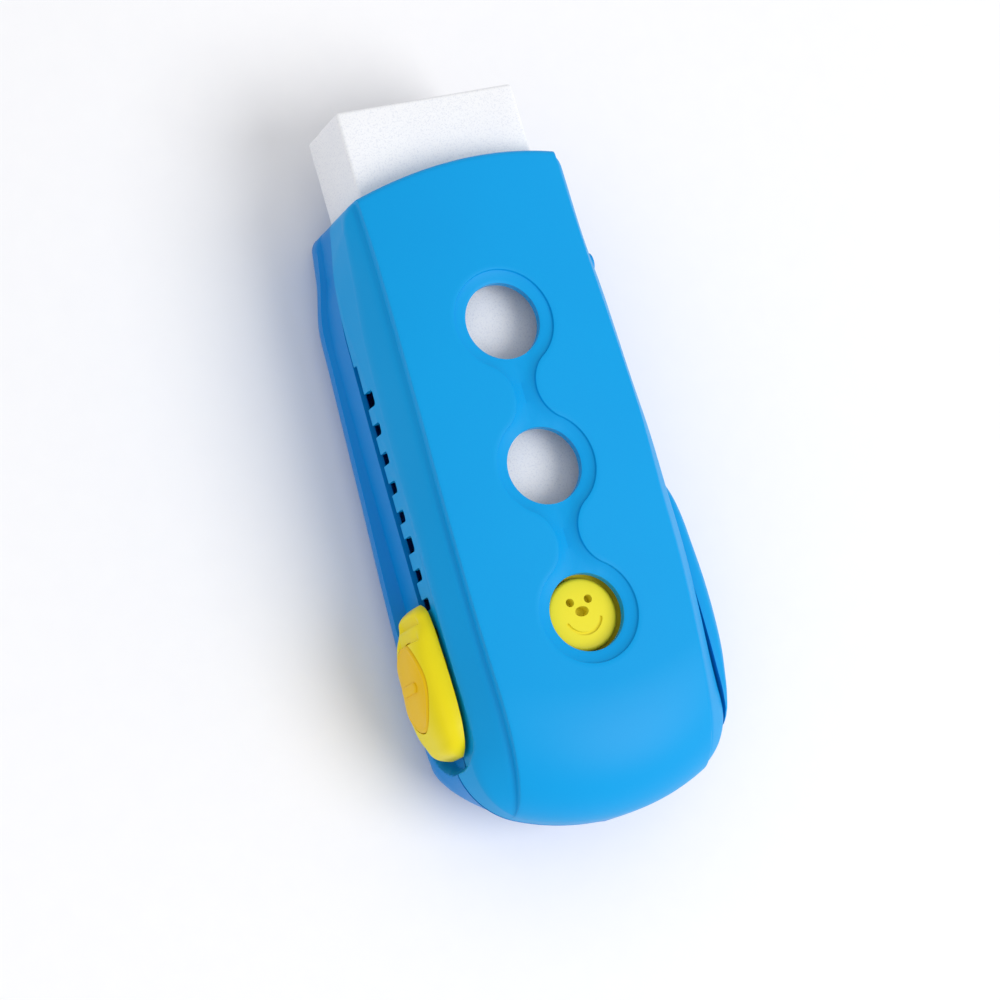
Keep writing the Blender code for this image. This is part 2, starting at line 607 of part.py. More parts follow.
def makeSlider():
    low = PARTING_Z - SLIDER_HALF
    high = PARTING_Z + SLIDER_HALF
    slider = outlineSolid("thumb_slider", sliderOutline(), low, high, partCollection, sliderYellow)
    # Side view: a narrow nose at the top and a wide body, drawn as (y, z)
    nose = 2.4
    corner = SLIDER_CORNER
    side = arc(SLIDER_BOTTOM + corner, low + corner, corner, 3 * pi / 2, pi, 6)
    side += arc(SLIDER_BOTTOM + corner, high - corner, corner, pi, pi / 2, 6)
    side += [(SLIDER_BOTTOM + corner, high + 1), (SLIDER_TOP - 6.5, high + 1)]
    side += arc(SLIDER_TOP - 6.5, high - 4.0, 4.0, pi / 2, pi / 2 - 0.9, 5)
    side += arc(SLIDER_TOP - nose, PARTING_Z, nose, 0.9, -0.9, 8)
    side += arc(SLIDER_TOP - 6.5, low + 4.0, 4.0, -pi / 2 + 0.9, -pi / 2, 5)
    side += [(SLIDER_TOP - 6.5, low - 1), (SLIDER_BOTTOM + corner, low - 1)]
    plan = outlineSolid("slider_side_shape", side, -24.0, -12.0, cutterCollection, turn=ALONG_X)
    join(slider, plan, "INTERSECT")
    bevel(slider, 0.7, segments=2, angle=50)
    seat = outlineSolid("badge_seat", ellipse(BADGE_Y, PARTING_Z, BADGE_LENGTH / 2 + GAP, BADGE_WIDTH / 2 + GAP, 36),
                        -25.0, -SLIDER_FACE + BADGE_SEAT_DEPTH, cutterCollection, turn=ALONG_X)
    join(slider, seat)
    floor = smoothAt(FLOOR_HALF, 0.0)
    holderSide = BLOCK_WIDTH / 2 + GAP + HOLDER_WALL
    footX = -holderSide - GAP
    bladeLow = PARTING_Z + BLADE_LIFT
    bladeTop = SLOT_TOP - TRAVEL - GAP
    bladeBottom = SLOT_BOTTOM + GAP
    blades = ((bladeTop - FORE_BLADE_LENGTH, bladeTop), (bladeBottom, bladeBottom + AFT_BLADE_LENGTH))
    for i, (start, end) in enumerate(blades):
        blade = box(f"slider_blade_{i}", (-floor - 0.8, start, bladeLow),
                    (footX - 0.2, end, bladeLow + BLADE_THICKNESS), cutterCollection)
        join(slider, blade, "UNION")
        ride(blade)
    foot = box("slider_foot", (footX - FOOT_THICKNESS, bladeBottom, PARTING_Z - FOOT_HALF_HEIGHT),
               (footX, bladeTop, PARTING_Z + FOOT_HALF_HEIGHT), cutterCollection)
    join(slider, foot, "UNION")
    for thing in (plan, seat, foot, slider):
        ride(thing)
    shadeSmooth(slider)


def makeBadge():
    """Oval inlay with a raised bar across it."""
    back = -SLIDER_FACE + BADGE_SEAT_DEPTH - GAP
    outline = ellipse(BADGE_Y, PARTING_Z, BADGE_LENGTH / 2, BADGE_WIDTH / 2, 36)
    badge = outlineSolid("slider_badge", outline, -SLIDER_FACE + BADGE_DROP, back, partCollection, badgeYellow,
                         turn=ALONG_X)
    bar = box("badge_bar", (-SLIDER_FACE, BADGE_Y - BAR_HALF_WIDTH, PARTING_Z - BAR_HALF_LENGTH),
              (back, BADGE_Y + BAR_HALF_WIDTH, PARTING_Z + BAR_HALF_LENGTH), cutterCollection)
    join(badge, bar, "UNION")
    ride(bar)
    ride(badge)
    shadeSmooth(badge)


def makeClickArm():
    """Sprung arm with a nose that stands in line with the lowest notch."""
    noseY = FIRST_NOTCH_Y - NOTCH_PITCH * (NOTCH_COUNT - 1)
    floor = smoothAt(FLOOR_HALF, 0.0)
    rootY = SLOT_BOTTOM + GAP + 0.6
    armHigh = PARTING_Z - 0.1
    armX = (-floor + THIN_WALL + GAP, -floor + WALL - 0.2)
    pivot = link(bpy.data.objects.new("click_arm_pivot", None), partCollection)
    pivot.location = ((armX[0] + armX[1]) / 2 * MM, rootY * MM, (armHigh - ARM_THICKNESS / 2) * MM)
    ride(pivot)
    arm = box("click_arm", (armX[0], rootY - 0.6, armHigh - ARM_THICKNESS),
              (armX[1], noseY + NOSE_LENGTH / 2, armHigh), partCollection, armYellow)
    noseTop = PARTING_Z + SLOT_WIDTH - GAP
    riser = box("arm_riser", (armX[0], noseY - NOSE_LENGTH / 2, armHigh - 0.2),
                (armX[1], noseY + NOSE_LENGTH / 2, noseTop), cutterCollection)
    nose = box("arm_nose", (-floor + 0.15, noseY - NOSE_LENGTH / 2, PARTING_Z + 0.2),
               (armX[0] + 0.1, noseY + NOSE_LENGTH / 2, noseTop), cutterCollection)
    for piece in (riser, nose):
        join(arm, piece, "UNION")
        ride(piece, pivot)
    ride(arm, pivot)


def makePad():
    """Raised thumb rest on the right, crowned across its width."""
    base = smoothAt(FLOOR_HALF, 0.0) + GAP
    low = PARTING_Z - SLIDER_HALF
    high = PARTING_Z + SLIDER_HALF
    plan = [(base, PAD_TOP), (base + 0.6, PAD_TOP), (base + 1.6, PAD_TOP - 2.5), (SLIDER_FACE - 1.0, PAD_TOP - 7),
            (SLIDER_FACE - 0.2, PAD_TOP - 12), (SLIDER_FACE, PAD_TOP - 16), (SLIDER_FACE - 0.2, PAD_TOP - 20),
            (SLIDER_FACE - 1.0, PAD_BOTTOM + 5), (SLIDER_FACE - 2.2, PAD_BOTTOM + 2), (base, PAD_BOTTOM)]
    pad = outlineSolid("grip_pad", plan, low, high, partCollection, padBlue)
    corner = CHANNEL_CORNER - 0.5
    side = [(PAD_TOP + 1, low - 1), (PAD_TOP + 1, high + 1), (PAD_BOTTOM + corner, high + 1)]
    side += arc(PAD_BOTTOM + corner, high - corner, corner, pi / 2, pi, 8)
    side += arc(PAD_BOTTOM + corner, low + corner, corner, pi, 3 * pi / 2, 8)
    side += [(PAD_BOTTOM + corner, low - 1)]
    shape = outlineSolid("pad_side_shape", side, 12.0, 24.0, cutterCollection, turn=ALONG_X)
    join(pad, shape, "INTERSECT")
    bevel(pad, 1.4, segments=3, angle=50)
    shadeSmooth(pad)


makeShells()
makeBlock()
makeHolder()
makeDisc()
makeSlider()
makeBadge()
makeClickArm()
makePad()
print("modelled", len([o for o in partCollection.objects if o.type == "MESH"]), "pieces")
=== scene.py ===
import bpy
import bmesh
import numpy as np
from math import atan2, cos, pi, radians, sin, sqrt
from mathutils import Matrix, Vector
from mathutils.geometry import delaunay_2d_cdt


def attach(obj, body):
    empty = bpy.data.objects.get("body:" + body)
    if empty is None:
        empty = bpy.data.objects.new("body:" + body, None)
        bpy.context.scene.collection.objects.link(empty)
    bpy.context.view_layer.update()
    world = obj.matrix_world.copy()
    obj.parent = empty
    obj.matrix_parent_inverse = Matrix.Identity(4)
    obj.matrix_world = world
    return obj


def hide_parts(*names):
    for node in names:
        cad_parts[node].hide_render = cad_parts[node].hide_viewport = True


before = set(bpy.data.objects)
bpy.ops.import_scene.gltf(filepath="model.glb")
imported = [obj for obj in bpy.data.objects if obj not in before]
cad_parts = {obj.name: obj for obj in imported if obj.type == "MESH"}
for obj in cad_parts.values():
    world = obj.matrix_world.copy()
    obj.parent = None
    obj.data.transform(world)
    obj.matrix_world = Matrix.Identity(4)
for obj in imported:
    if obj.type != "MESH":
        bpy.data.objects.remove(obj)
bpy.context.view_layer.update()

# Sizes in this file are in millimetres unless a note says otherwise. The frame is in metres.
mm = 0.001
gap = 0.3                         # clearance between neighbouring pieces


def linearColour(hexValue):
    # sRGB hex to the linear values that the shaders take
    channels = [int(hexValue[i:i + 2], 16) / 255 for i in (1, 3, 5)]
    return [c / 12.92 if c <= 0.04045 else ((c + 0.055) / 1.055) ** 2.4 for c in channels] + [1.0]


def addNode(tree, kind, settings=None, values=None, links=None):
    # settings are the node's own properties, values its inputs, links {input: (node, output)}
    node = tree.nodes.new(kind)
    for key, value in (settings or {}).items():
        setattr(node, key, value)
    for key, value in (values or {}).items():
        node.inputs[key].default_value = value
    for key, (source, output) in (links or {}).items():
        tree.links.new(source.outputs[output], node.inputs[key])
    return node


def smoothAt(stations, y):
    # smooth curve through (y, value) stations, level beyond the end ones
    ys, values = (np.array(column, float) for column in zip(*sorted(stations)))
    slopes = np.gradient(values, ys)
    y = min(max(y, ys[0]), ys[-1])
    i = min(int(np.searchsorted(ys, y, side="right")) - 1, len(ys) - 2)
    span = ys[i + 1] - ys[i]
    t = (y - ys[i]) / span
    start = (1 + 2 * t) * (1 - t) ** 2 * values[i] + t * (1 - t) ** 2 * span * slopes[i]
    end = t * t * (3 - 2 * t) * values[i + 1] + t * t * (t - 1) * span * slopes[i + 1]
    return float(start + end)


def smoothStep(low, high, value):
    t = min(max((value - low) / (high - low), 0.0), 1.0)
    return t * t * (3 - 2 * t)


def arc(cx, cy, radius, start, end, steps):
    angles = [start + (end - start) * i / steps for i in range(steps + 1)]
    return [(cx + radius * cos(a), cy + radius * sin(a)) for a in angles]


def meshFrom(bm, name, look=None, smoothAngle=None):
    bmesh.ops.recalc_face_normals(bm, faces=bm.faces)
    mesh = bpy.data.meshes.new(name)
    bm.to_mesh(mesh)
    bm.free()
    mesh.transform(Matrix.Diagonal((mm, mm, mm, 1.0)))
    if look:
        mesh.materials.append(look)
    if smoothAngle:
        mesh.shade_smooth()
        mesh.set_sharp_from_angle(angle=radians(smoothAngle))
    piece = bpy.data.objects.new(name, mesh)
    bpy.context.scene.collection.objects.link(piece)
    return piece


def loftMesh(rings, closeEnds=True):
    # bmesh through rings of the same number of points
    bm = bmesh.new()
    made = [[bm.verts.new(point) for point in ring] for ring in rings]
    for first, second in zip(made, made[1:]):
        for i in range(len(first)):
            j = (i + 1) % len(first)
            bm.faces.new((first[i], first[j], second[j], second[i]))
    if closeEnds:
        bm.faces.new(made[0])
        bm.faces.new(made[-1])
    return bm


def boxMesh(low, high):
    bm = bmesh.new()
    size = [b - a for a, b in zip(low, high)]
    centre = [(a + b) / 2 for a, b in zip(low, high)]
    bmesh.ops.create_cube(bm, size=1.0, matrix=Matrix.Translation(centre) @ Matrix.Diagonal((*size, 1.0)))
    return bm


def settle(piece):
    # applies every modifier, so that the piece is a plain mesh
    bpy.context.view_layer.update()
    seen = piece.evaluated_get(bpy.context.evaluated_depsgraph_get())
    mesh = bpy.data.meshes.new_from_object(seen)
    piece.modifiers.clear()
    piece.data = mesh
    return piece


def cut(target, cutters, operation="DIFFERENCE"):
    for cutter in cutters:
        step = target.modifiers.new(cutter.name, "BOOLEAN")
        step.operation = operation
        step.solver = "EXACT"
        step.object = cutter
    settle(target)
    for cutter in cutters:
        bpy.data.objects.remove(cutter, do_unlink=True)
    # hairline seams that a boolean leaves are merged
    bm = bmesh.new()
    bm.from_mesh(target.data)
    bmesh.ops.remove_doubles(bm, verts=bm.verts, dist=0.0015 * mm)
    bmesh.ops.dissolve_degenerate(bm, edges=bm.edges, dist=0.0008 * mm)
    bm.to_mesh(target.data)
    bm.free()


def smoothShade(piece, angle):
    piece.data.shade_smooth()
    piece.data.set_sharp_from_angle(angle=radians(angle))
    return piece


mouldedAbs = {"ior": 1.53, "specular": 0.16, "glow": 0.05, "glowMm": 0.5}
plastics = {
    "frontBlue": {"colour": "#00A0E4", "drift": "#009BE0", "roughness": 0.42, "grainMm": 0.16},
    "rearBlue": {"colour": "#0088D8", "drift": "#0082D2", "roughness": 0.42, "grainMm": 0.16},
    "holderYellow": {"colour": "#F1DE35", "drift": "#E9D428", "roughness": 0.4, "grainMm": 0.14},
    "discYellow": {"colour": "#F3E83E", "drift": "#EDDE30", "roughness": 0.36, "grainMm": 0.14},
    "sliderYellow": {"colour": "#F4E41E", "drift": "#EFDB16", "roughness": 0.34, "grainMm": 0.14},
    # the badge colour below is the slider's yellow made darker and more orange: painted shade for the oval
    # face that turns away from the light, not a colour of its own
    "badgeYellow": {"colour": "#F4C80A", "drift": "#EFC006", "roughness": 0.38, "grainMm": 0.14},
    "armYellow": {"colour": "#EBD83C", "drift": "#E4CE30", "roughness": 0.3, "grainMm": 0.2},
}


def startPlastic(name, look):
    made = bpy.data.materials.new(name)
    made.use_nodes = True
    shader = made.node_tree.nodes["Principled BSDF"]
    for socket, value in (("IOR", look["ior"]), ("Specular IOR Level", look["specular"]),
                          ("Subsurface Weight", look["glow"]), ("Subsurface Radius", (1.0, 1.0, 1.0)),
                          ("Subsurface Scale", look["glowMm"] * mm)):
        shader.inputs[socket].default_value = value
    return made, made.node_tree, shader, addNode(made.node_tree, "ShaderNodeTexCoord")


def endPlastic(tree, shader, tone, satin, bump):
    tree.links.new(tone.outputs[2], shader.inputs["Base Color"])
    tree.links.new(satin.outputs["Result"], shader.inputs["Roughness"])
    tree.links.new(bump.outputs["Normal"], shader.inputs["Normal"])


def mouldedPlastic(name, look):
    # Injection-moulded ABS takes the tool's fine spark-eroded texture: an even satin skin whose
    # highlights are broad and soft, with slow shifts of tone where the melt flowed.
    # The real grain is about 0.03 mm, drawn coarser here so that it shows.
    made, tree, shader, place = startPlastic(name, {**mouldedAbs, **look})
    flow = addNode(tree, "ShaderNodeTexNoise", values={"Scale": 1 / (16 * mm), "Detail": 2.0},
                   links={"Vector": (place, "Object")})
    grain = addNode(tree, "ShaderNodeTexNoise",
                    values={"Scale": 1 / (look["grainMm"] * mm), "Detail": 3.0, "Roughness": 0.6},
                    links={"Vector": (place, "Object")})
    tone = addNode(tree, "ShaderNodeMix", {"data_type": "RGBA"},
                   values={6: linearColour(look["colour"]), 7: linearColour(look["drift"])},
                   links={0: (flow, "Fac")})
    satin = addNode(tree, "ShaderNodeMapRange",
                    values={"To Min": look["roughness"] - 0.05, "To Max": look["roughness"] + 0.05},
                    links={"Value": (grain, "Fac")})
    bump = addNode(tree, "ShaderNodeBump", values={"Strength": 0.35, "Distance": 0.004 * mm},
                   links={"Height": (grain, "Fac")})
    endPlastic(tree, shader, tone, satin, bump)
    return made


vinyl = {"colour": "#FAFBFD", "shade": "#F3F4F9", "dust": "#E8EAF1", "roughness": 0.74, "grainMm": 0.2,
         "cloudMm": 7, "ior": 1.52, "specular": 0.3, "glow": 0.2, "glowMm": 0.9}


def softVinyl(name, look):
    # Plasticised PVC, extruded and cut: matt and slightly see-through, so its edges look soft,
    # with a chalky grain of filler and fine grey specks that the cut face shows.
    made, tree, shader, place = startPlastic(name, look)
    grain = addNode(tree, "ShaderNodeTexNoise",
                    values={"Scale": 1 / (look["grainMm"] * mm), "Detail": 4.0, "Roughness": 0.65},
                    links={"Vector": (place, "Object")})
    cloud = addNode(tree, "ShaderNodeTexNoise", values={"Scale": 1 / (look["cloudMm"] * mm), "Detail": 3.0},
                    links={"Vector": (place, "Object")})
    specks = addNode(tree, "ShaderNodeMapRange", values={"From Min": 0.36, "From Max": 0.5},
                     links={"Value": (grain, "Fac")})
    tone = addNode(tree, "ShaderNodeMix", {"data_type": "RGBA"},
                   values={6: linearColour(look["shade"]), 7: linearColour(look["colour"])},
                   links={0: (cloud, "Fac")})
    dusted = addNode(tree, "ShaderNodeMix", {"data_type": "RGBA"}, values={6: linearColour(look["dust"])},
                     links={0: (specks, "Result"), 7: (tone, 2)})
    chalk = addNode(tree, "ShaderNodeMapRange",
                    values={"To Min": look["roughness"] - 0.08, "To Max": look["roughness"] + 0.1},
                    links={"Value": (grain, "Fac")})
    bump = addNode(tree, "ShaderNodeBump", values={"Strength": 0.6, "Distance": 0.02 * mm},
                   links={"Height": (grain, "Fac")})
    endPlastic(tree, shader, dusted, chalk, bump)
    return made


frontBlue = mouldedPlastic("front blue moulded ABS", plastics["frontBlue"])
rearBlue = mouldedPlastic("rear blue moulded ABS", plastics["rearBlue"])
holderYellow = mouldedPlastic("holder yellow moulded ABS", plastics["holderYellow"])
discYellow = mouldedPlastic("disc yellow moulded ABS", plastics["discYellow"])
sliderYellow = mouldedPlastic("slider yellow moulded ABS", plastics["sliderYellow"])
# the badge's material is a painted-shade copy of the slider yellow, darker and more orange
badgeYellow = mouldedPlastic("slider yellow moulded ABS with painted shade for the badge", plastics["badgeYellow"])
armYellow = mouldedPlastic("arm yellow moulded acetal", plastics["armYellow"])
whiteVinyl = softVinyl("white eraser vinyl", vinyl)
print("materials ready")


# Half widths and heights of the case along its length, as (y, value)
caseForm = {
    "top": 34.39, "bottom": -43.38, "partingZ": 10.4, "wall": 1.45,
    "archRadius": 60.0, "archMiddle": 3.9, "topCorner": 1.5, "topHalf": 14.15, "topRound": 0.6,
    "bottomRadius": 28.0, "bottomCorner": 9.0,
    "archFrom": 14.0, "roundFrom": -18.0,         # where the rows begin to bend towards the two ends
    "crown": ((36, 19.7), (24, 20.28), (8, 20.7), (-6, 20.76), (-20, 20.73), (-32, 20.6)),
    "drop": ((36, 1.6), (20, 1.25), (4, 0.8), (-20, 0.85), (-44, 1.0)), "dropHalf": 13.0,
    "crease": ((36, 12.8), (26, 12.65), (10, 12.95), (-8, 13.25), (-24, 13.05), (-34, 12.6), (-44, 12.3)),
    "edge": ((36, 13.9), (28, 14.65), (18, 15.4), (6, 15.8), (-8, 16.2), (-24, 16.45), (-44, 16.4)),
    "edgeZ": ((36, 17.6), (28, 16.1), (18, 15.3), (4, 15.25), (-8, 16.1), (-22, 15.6), (-32, 14.6)),
    "rear": ((36, 13.8), (30, 14.85), (24, 15.95), (16, 16.25), (2, 16.75), (-14, 17.35), (-44, 17.6)),
    "floor": ((36, 13.2), (30, 14.1), (25, 15.1), (20, 15.55), (14, 15.65), (-44, 15.65)),
    "rollLength": 14.6, "rollBase": 12.0,
    "creaseStep": 0.42, "creaseRound": 0.14, "grooveDepth": 0.5, "grooveWidth": 0.8,
    "bandSoft": 0.28, "edgeSoft": 0.55,           # rounding between the band and the side
    "rearRollStart": -24.0, "rearRollHeight": 9.4, "rearCorner": 5.0, "rearCornerZ": 5.2, "rearBulge": 0.85,
    "rearTaper": (0.95, 0.7),     # how far the rear draws in at the lower end, and how early
    "rightShift": (0.45, -0.4),   # the right edge stands out a little more at the top than at the lower end
}
channel = {"halfDepth": 4.9, "leftBottom": -33.8, "rightBottom": -36.8, "corner": 4.2, "wallWidth": 0.7}


def fullHalf(y):
    # half width of the case at the parting line, before its lower end is rounded
    return (smoothAt(caseForm["edge"], y) + smoothAt(caseForm["rear"], y)) / 2


def outlineHalf(y):
    # the same with the round lower end
    half = fullHalf(y)
    corner, radius = caseForm["bottomCorner"], caseForm["bottomRadius"]
    centreY = caseForm["bottom"] + radius
    cornerY = centreY - sqrt((radius - corner) ** 2 - (half - corner) ** 2)
    joinY = centreY + (cornerY - centreY) * radius / (radius - corner)
    if y >= cornerY:
        return half
    if y > joinY:
        return half - corner + sqrt(corner ** 2 - (y - cornerY) ** 2)
    return sqrt(max(radius ** 2 - (y - centreY) ** 2, 0.0))


outlineYs = np.linspace(caseForm["bottom"], -20.0, 1200)
outlineXs = np.array([outlineHalf(y) for y in outlineYs])


def bottomY(x):
    # lower outline at x
    return float(np.interp(abs(x), outlineXs, outlineYs)) if abs(x) < outlineXs.max() else -20.0


def rightShift(y):
    # how far the right edge stands out from the left one's mirror image
    upper, lower = caseForm["rightShift"]
    return upper * smoothStep(-10.0, 2.0, y) + lower * (1 - smoothStep(-30.0, -14.0, y))


def topY(x):
    # arched upper outline with small corners
    corner, radius, middle = caseForm["topCorner"], caseForm["archRadius"], caseForm["archMiddle"]
    half = caseForm["topHalf"] + (caseForm["rightShift"][0] if x > 0 else 0.0)
    arch = caseForm["top"] + sqrt(radius ** 2 - (x - middle) ** 2) - sqrt(radius ** 2 - middle ** 2)
    past = min(max(abs(x) - (half - corner), 0.0), corner)
    return arch - (corner - sqrt(corner ** 2 - past ** 2))


def skinZ(x, y):
    # front skin: slightly crowned, rolling down to the lower outline round a quarter ellipse
    crown = smoothAt(caseForm["crown"], y) - smoothAt(caseForm["drop"], y) * (x / caseForm["dropHalf"]) ** 2
    left = min(max((y - bottomY(x)) / caseForm["rollLength"], 0.0), 1.0)
    roll = sqrt(max(1 - (1 - left) ** 2, 0.0))
    return caseForm["rollBase"] + (crown - caseForm["rollBase"]) * roll


def channelShare(y, z, side):
    # 1 on the channel's floor and 0 outside it, with a soft wall between
    corner = channel["corner"]
    bottom = channel["leftBottom"] if side < 0 else channel["rightBottom"]
    across = abs(z - caseForm["partingZ"]) - (channel["halfDepth"] - corner)
    along = (bottom + corner) - y
    reach = sqrt(across ** 2 + along ** 2) if across > 0 and along > 0 else max(across, along)
    return smoothStep(-channel["wallWidth"] / 2, channel["wallWidth"] / 2, corner - reach)


def sideX(y, z, side):
    # outer face of the case's side, channel included
    outline = outlineHalf(y)
    edge, rear = smoothAt(caseForm["edge"], y), smoothAt(caseForm["rear"], y)
    lean = (edge - rear) * (z - caseForm["partingZ"]) / caseForm["partingZ"]
    outer = outline + lean * smoothStep(caseForm["bottom"], -28.0, y)
    depth = max(outer - smoothAt(caseForm["floor"], y), 0.0)
    return outer - depth * channelShare(y, z, side)


def rowStations(fine):
    # rows of the mesh from the top to the lower end, close together where the form turns
    top, bottom = caseForm["top"], caseForm["bottom"]
    rows = [top - t for t in (0.0, 0.04, 0.12, 0.25, 0.42, 0.62, 0.95, 1.4)]
    rows += list(np.arange(top - 2.0, -28.5, -fine))
    rows += list(np.arange(rows[-1] - 0.25, bottom + 2.0, -0.25))
    turns = np.linspace(1.0, 0.0, 14) ** 2
    return rows + [bottom + (rows[-1] - bottom) * t for t in turns[1:]]


def roundDrop(t, radius):
    # fall of a rounded edge at distance t in from it
    return radius - sqrt(radius ** 2 - (radius - t) ** 2) if t < radius else 0.0


def capTop(bm, row, zPart, sideCount):
    # ruled face at the mouth end, from the last row straight down to the parting line
    last = len(row) - 1
    feet = []
    for k, vert in enumerate(row):
        fromSide = min(k, last - k)
        if fromSide == 0:
            feet.append(vert)
            continue
        x, y = vert.co.x, vert.co.y
        if fromSide < sideCount:
            end = row[0 if k < last / 2 else last].co
            inner = row[sideCount if k < last / 2 else last - sideCount].co
            share = fromSide / sideCount
            x = end.x + (inner.x - end.x) * share
            y = topY(x) + (end.y - topY(end.x)) * (1 - share) + (inner.y - topY(inner.x)) * share
        feet.append(bm.verts.new((x, y, zPart)))
    for k in range(last):
        corners = [row[k], row[k + 1], feet[k + 1], feet[k]]
        bm.faces.new([v for i, v in enumerate(corners) if v not in corners[:i]])
    return feet


recess = {"firstY": 14.5, "pitch": 17.5, "count": 3, "windowRadius": 4.56, "ringRadius": 6.09,
          "neckHalf": 1.45, "fillet": 4.5, "rimZ": 19.85, "wellZ": 17.5,
          "step": 0.32, "stepWidth": 0.09, "softDrop": 0.05, "softEdge": 0.22, "rimDrop": 0.07,
          "circleCount": 96}
windowYs = [recess["firstY"] - recess["pitch"] * i for i in range(recess["count"])]
filletX = recess["neckHalf"] + recess["fillet"]
filletAngle = atan2(recess["pitch"] / 2, filletX)


def recessLoop(inward):
    # outline of the three rings and their necks, moved inwards by a distance
    ring, fillet = recess["ringRadius"] - inward, recess["fillet"] + inward
    right = []
    for i, y in enumerate(windowYs):
        start = filletAngle if i else pi / 2
        end = -filletAngle if i < recess["count"] - 1 else -pi / 2
        right += arc(0.0, y, ring, start, end, int((start - end) / 0.055))
        if i < recess["count"] - 1:
            neckY = y - recess["pitch"] / 2
            right += arc(filletX, neckY, fillet, pi - filletAngle, pi + filletAngle, 30)[1:-1]
    return right + [(-x, y) for x, y in reversed(right) if abs(x) > 1e-6]


def recessInside(x, y):
    # distance inside the outline, negative outside it
    across = filletX - abs(x)
    middles = [y0 - recess["pitch"] / 2 for y0 in windowYs[:-1]]
    along = min((y - m for m in middles), key=abs)
    if across > 0 and abs(atan2(along, across)) <= filletAngle:
        return sqrt(across ** 2 + along ** 2) - recess["fillet"]
    return recess["ringRadius"] - min(sqrt(x * x + (y - y0) ** 2) for y0 in windowYs)


def recessZ(x, y):
    # height of the dish: a small step at its outline, then a curve down to the windows' rims
    inside = recessInside(x, y)
    skin, soft, width = skinZ(x, y), recess["softDrop"], recess["stepWidth"]
    span = recess["ringRadius"] - recess["windowRadius"]
    if inside <= 0:
        return skin - soft * smoothStep(-recess["softEdge"], 0.0, inside)
    edge = skin - soft - (recess["step"] - soft) * min(inside / width, 1.0)
    share = 1 - (1 - min(max(inside - width, 0.0) / (span - width), 1.0)) ** 1.8
    rim = recess["rimDrop"] * smoothStep(span - recess["softEdge"], span, inside)
    return edge + (recess["rimZ"] - edge) * share - rim


def recessPatch(bm, border):
    # fills the space left in the skin with the dished recess and its three wells
    points = [Vector((v.co.x, v.co.y)) for v in border]
    edges = [(i, (i + 1) % len(points)) for i in range(len(points))]
    window, count = recess["windowRadius"], recess["circleCount"]

    def addLoop(loop):
        start = len(points)
        points.extend(Vector(p) for p in loop)
        edges.extend((start + i, start + (i + 1) % len(loop)) for i in range(len(loop)))
        return start

    for inward in (-0.6, -0.22, -0.08, 0.0, 0.09, 0.3, 0.7, 1.1):
        addLoop(recessLoop(inward))
    rims = []
    for y in windowYs:
        for radius in (window + 0.2, window + 0.07, window):
            start = addLoop(arc(0.0, y, radius, 0.0, 2 * pi, count)[:-1])
        rims.append(start)
    for step in range(-7, 8):                                   # crest line of each neck
        for y0 in windowYs[:-1]:
            points.append(Vector((0.0, y0 - recess["pitch"] / 2 + step * 0.28)))
    xs = np.arange(-6.4, 6.5, 0.8)
    lowY, highY = min(p.y for p in points), max(p.y for p in points)
    for y in np.arange(lowY + 0.9, highY - 0.5, 0.8):
        points.extend(Vector((x, y)) for x in xs if recessInside(x, y) < -0.95)
    coords, _, triangles, sources, _, _ = delaunay_2d_cdt(points, edges, [], 0, 1e-5)
    borderXY = [(v.co.x, v.co.y) for v in border]
    made = {}
    for i, (co, source) in enumerate(zip(coords, sources)):
        onBorder = [s for s in source if s < len(border)]
        made[i] = border[onBorder[0]] if onBorder else bm.verts.new((co.x, co.y, recessZ(co.x, co.y)))
    for triangle in triangles:
        middle = sum((coords[i] for i in triangle), Vector((0.0, 0.0))) / 3
        inWindow = any(sqrt(middle.x ** 2 + (middle.y - y) ** 2) < window - 0.001 for y in windowYs)
        if not inWindow and insidePolygon(middle.x, middle.y, borderXY):
            bm.faces.new([made[i] for i in triangle])
    found = {s: made[i] for i, source in enumerate(sources) for s in source}
    for start in rims:
        ring = [found[start + i] for i in range(count)]
        for drop in (0.12, 0.6, None):
            z = recess["wellZ"] if drop is None else recess["rimZ"] - drop - recess["rimDrop"]
            lower = [bm.verts.new((v.co.x, v.co.y, z)) for v in ring]
            for i in range(count):
                j = (i + 1) % count
                bm.faces.new((ring[i], ring[j], lower[j], lower[i]))
            ring = lower
        bm.faces.new(ring)
    for vert in [v for v in bm.verts if not v.link_faces]:
        bm.verts.remove(vert)


def insidePolygon(x, y, corners):
    inside = False
    for (x1, y1), (x2, y2) in zip(corners, corners[1:] + corners[:1]):
        if (y1 > y) != (y2 > y) and x < x1 + (y - y1) * (x2 - x1) / (y2 - y1):
            inside = not inside
    return inside


bandSteps, sideSteps = 9, 17      # points down the band and the side of a front section
rearSteps = {"side": 18, "corner": 12, "floor": 8}


def skinPoint(u, s):
    # point of the front skin in column u of the row at station s
    top, bottom = caseForm["top"], caseForm["bottom"]
    y = s
    for _ in range(5):
        x = u * smoothAt(caseForm["crease"], y) + max(u, 0.0) * rightShift(y)
        low = (bottomY(x) - bottom) * (1 - smoothStep(bottom, caseForm["roundFrom"], s))
        y = s + low + (topY(x) - top) * smoothStep(caseForm["archFrom"], top, s)
    fromCrease = (1 - abs(u)) * smoothAt(caseForm["crease"], y)
    z = skinZ(x, y) - roundDrop(top - s, caseForm["topRound"])
    rounding = roundDrop(fromCrease, caseForm["creaseRound"])
    return x, y, z - rounding * min((z - caseForm["rollBase"]) / 3, 1.0)


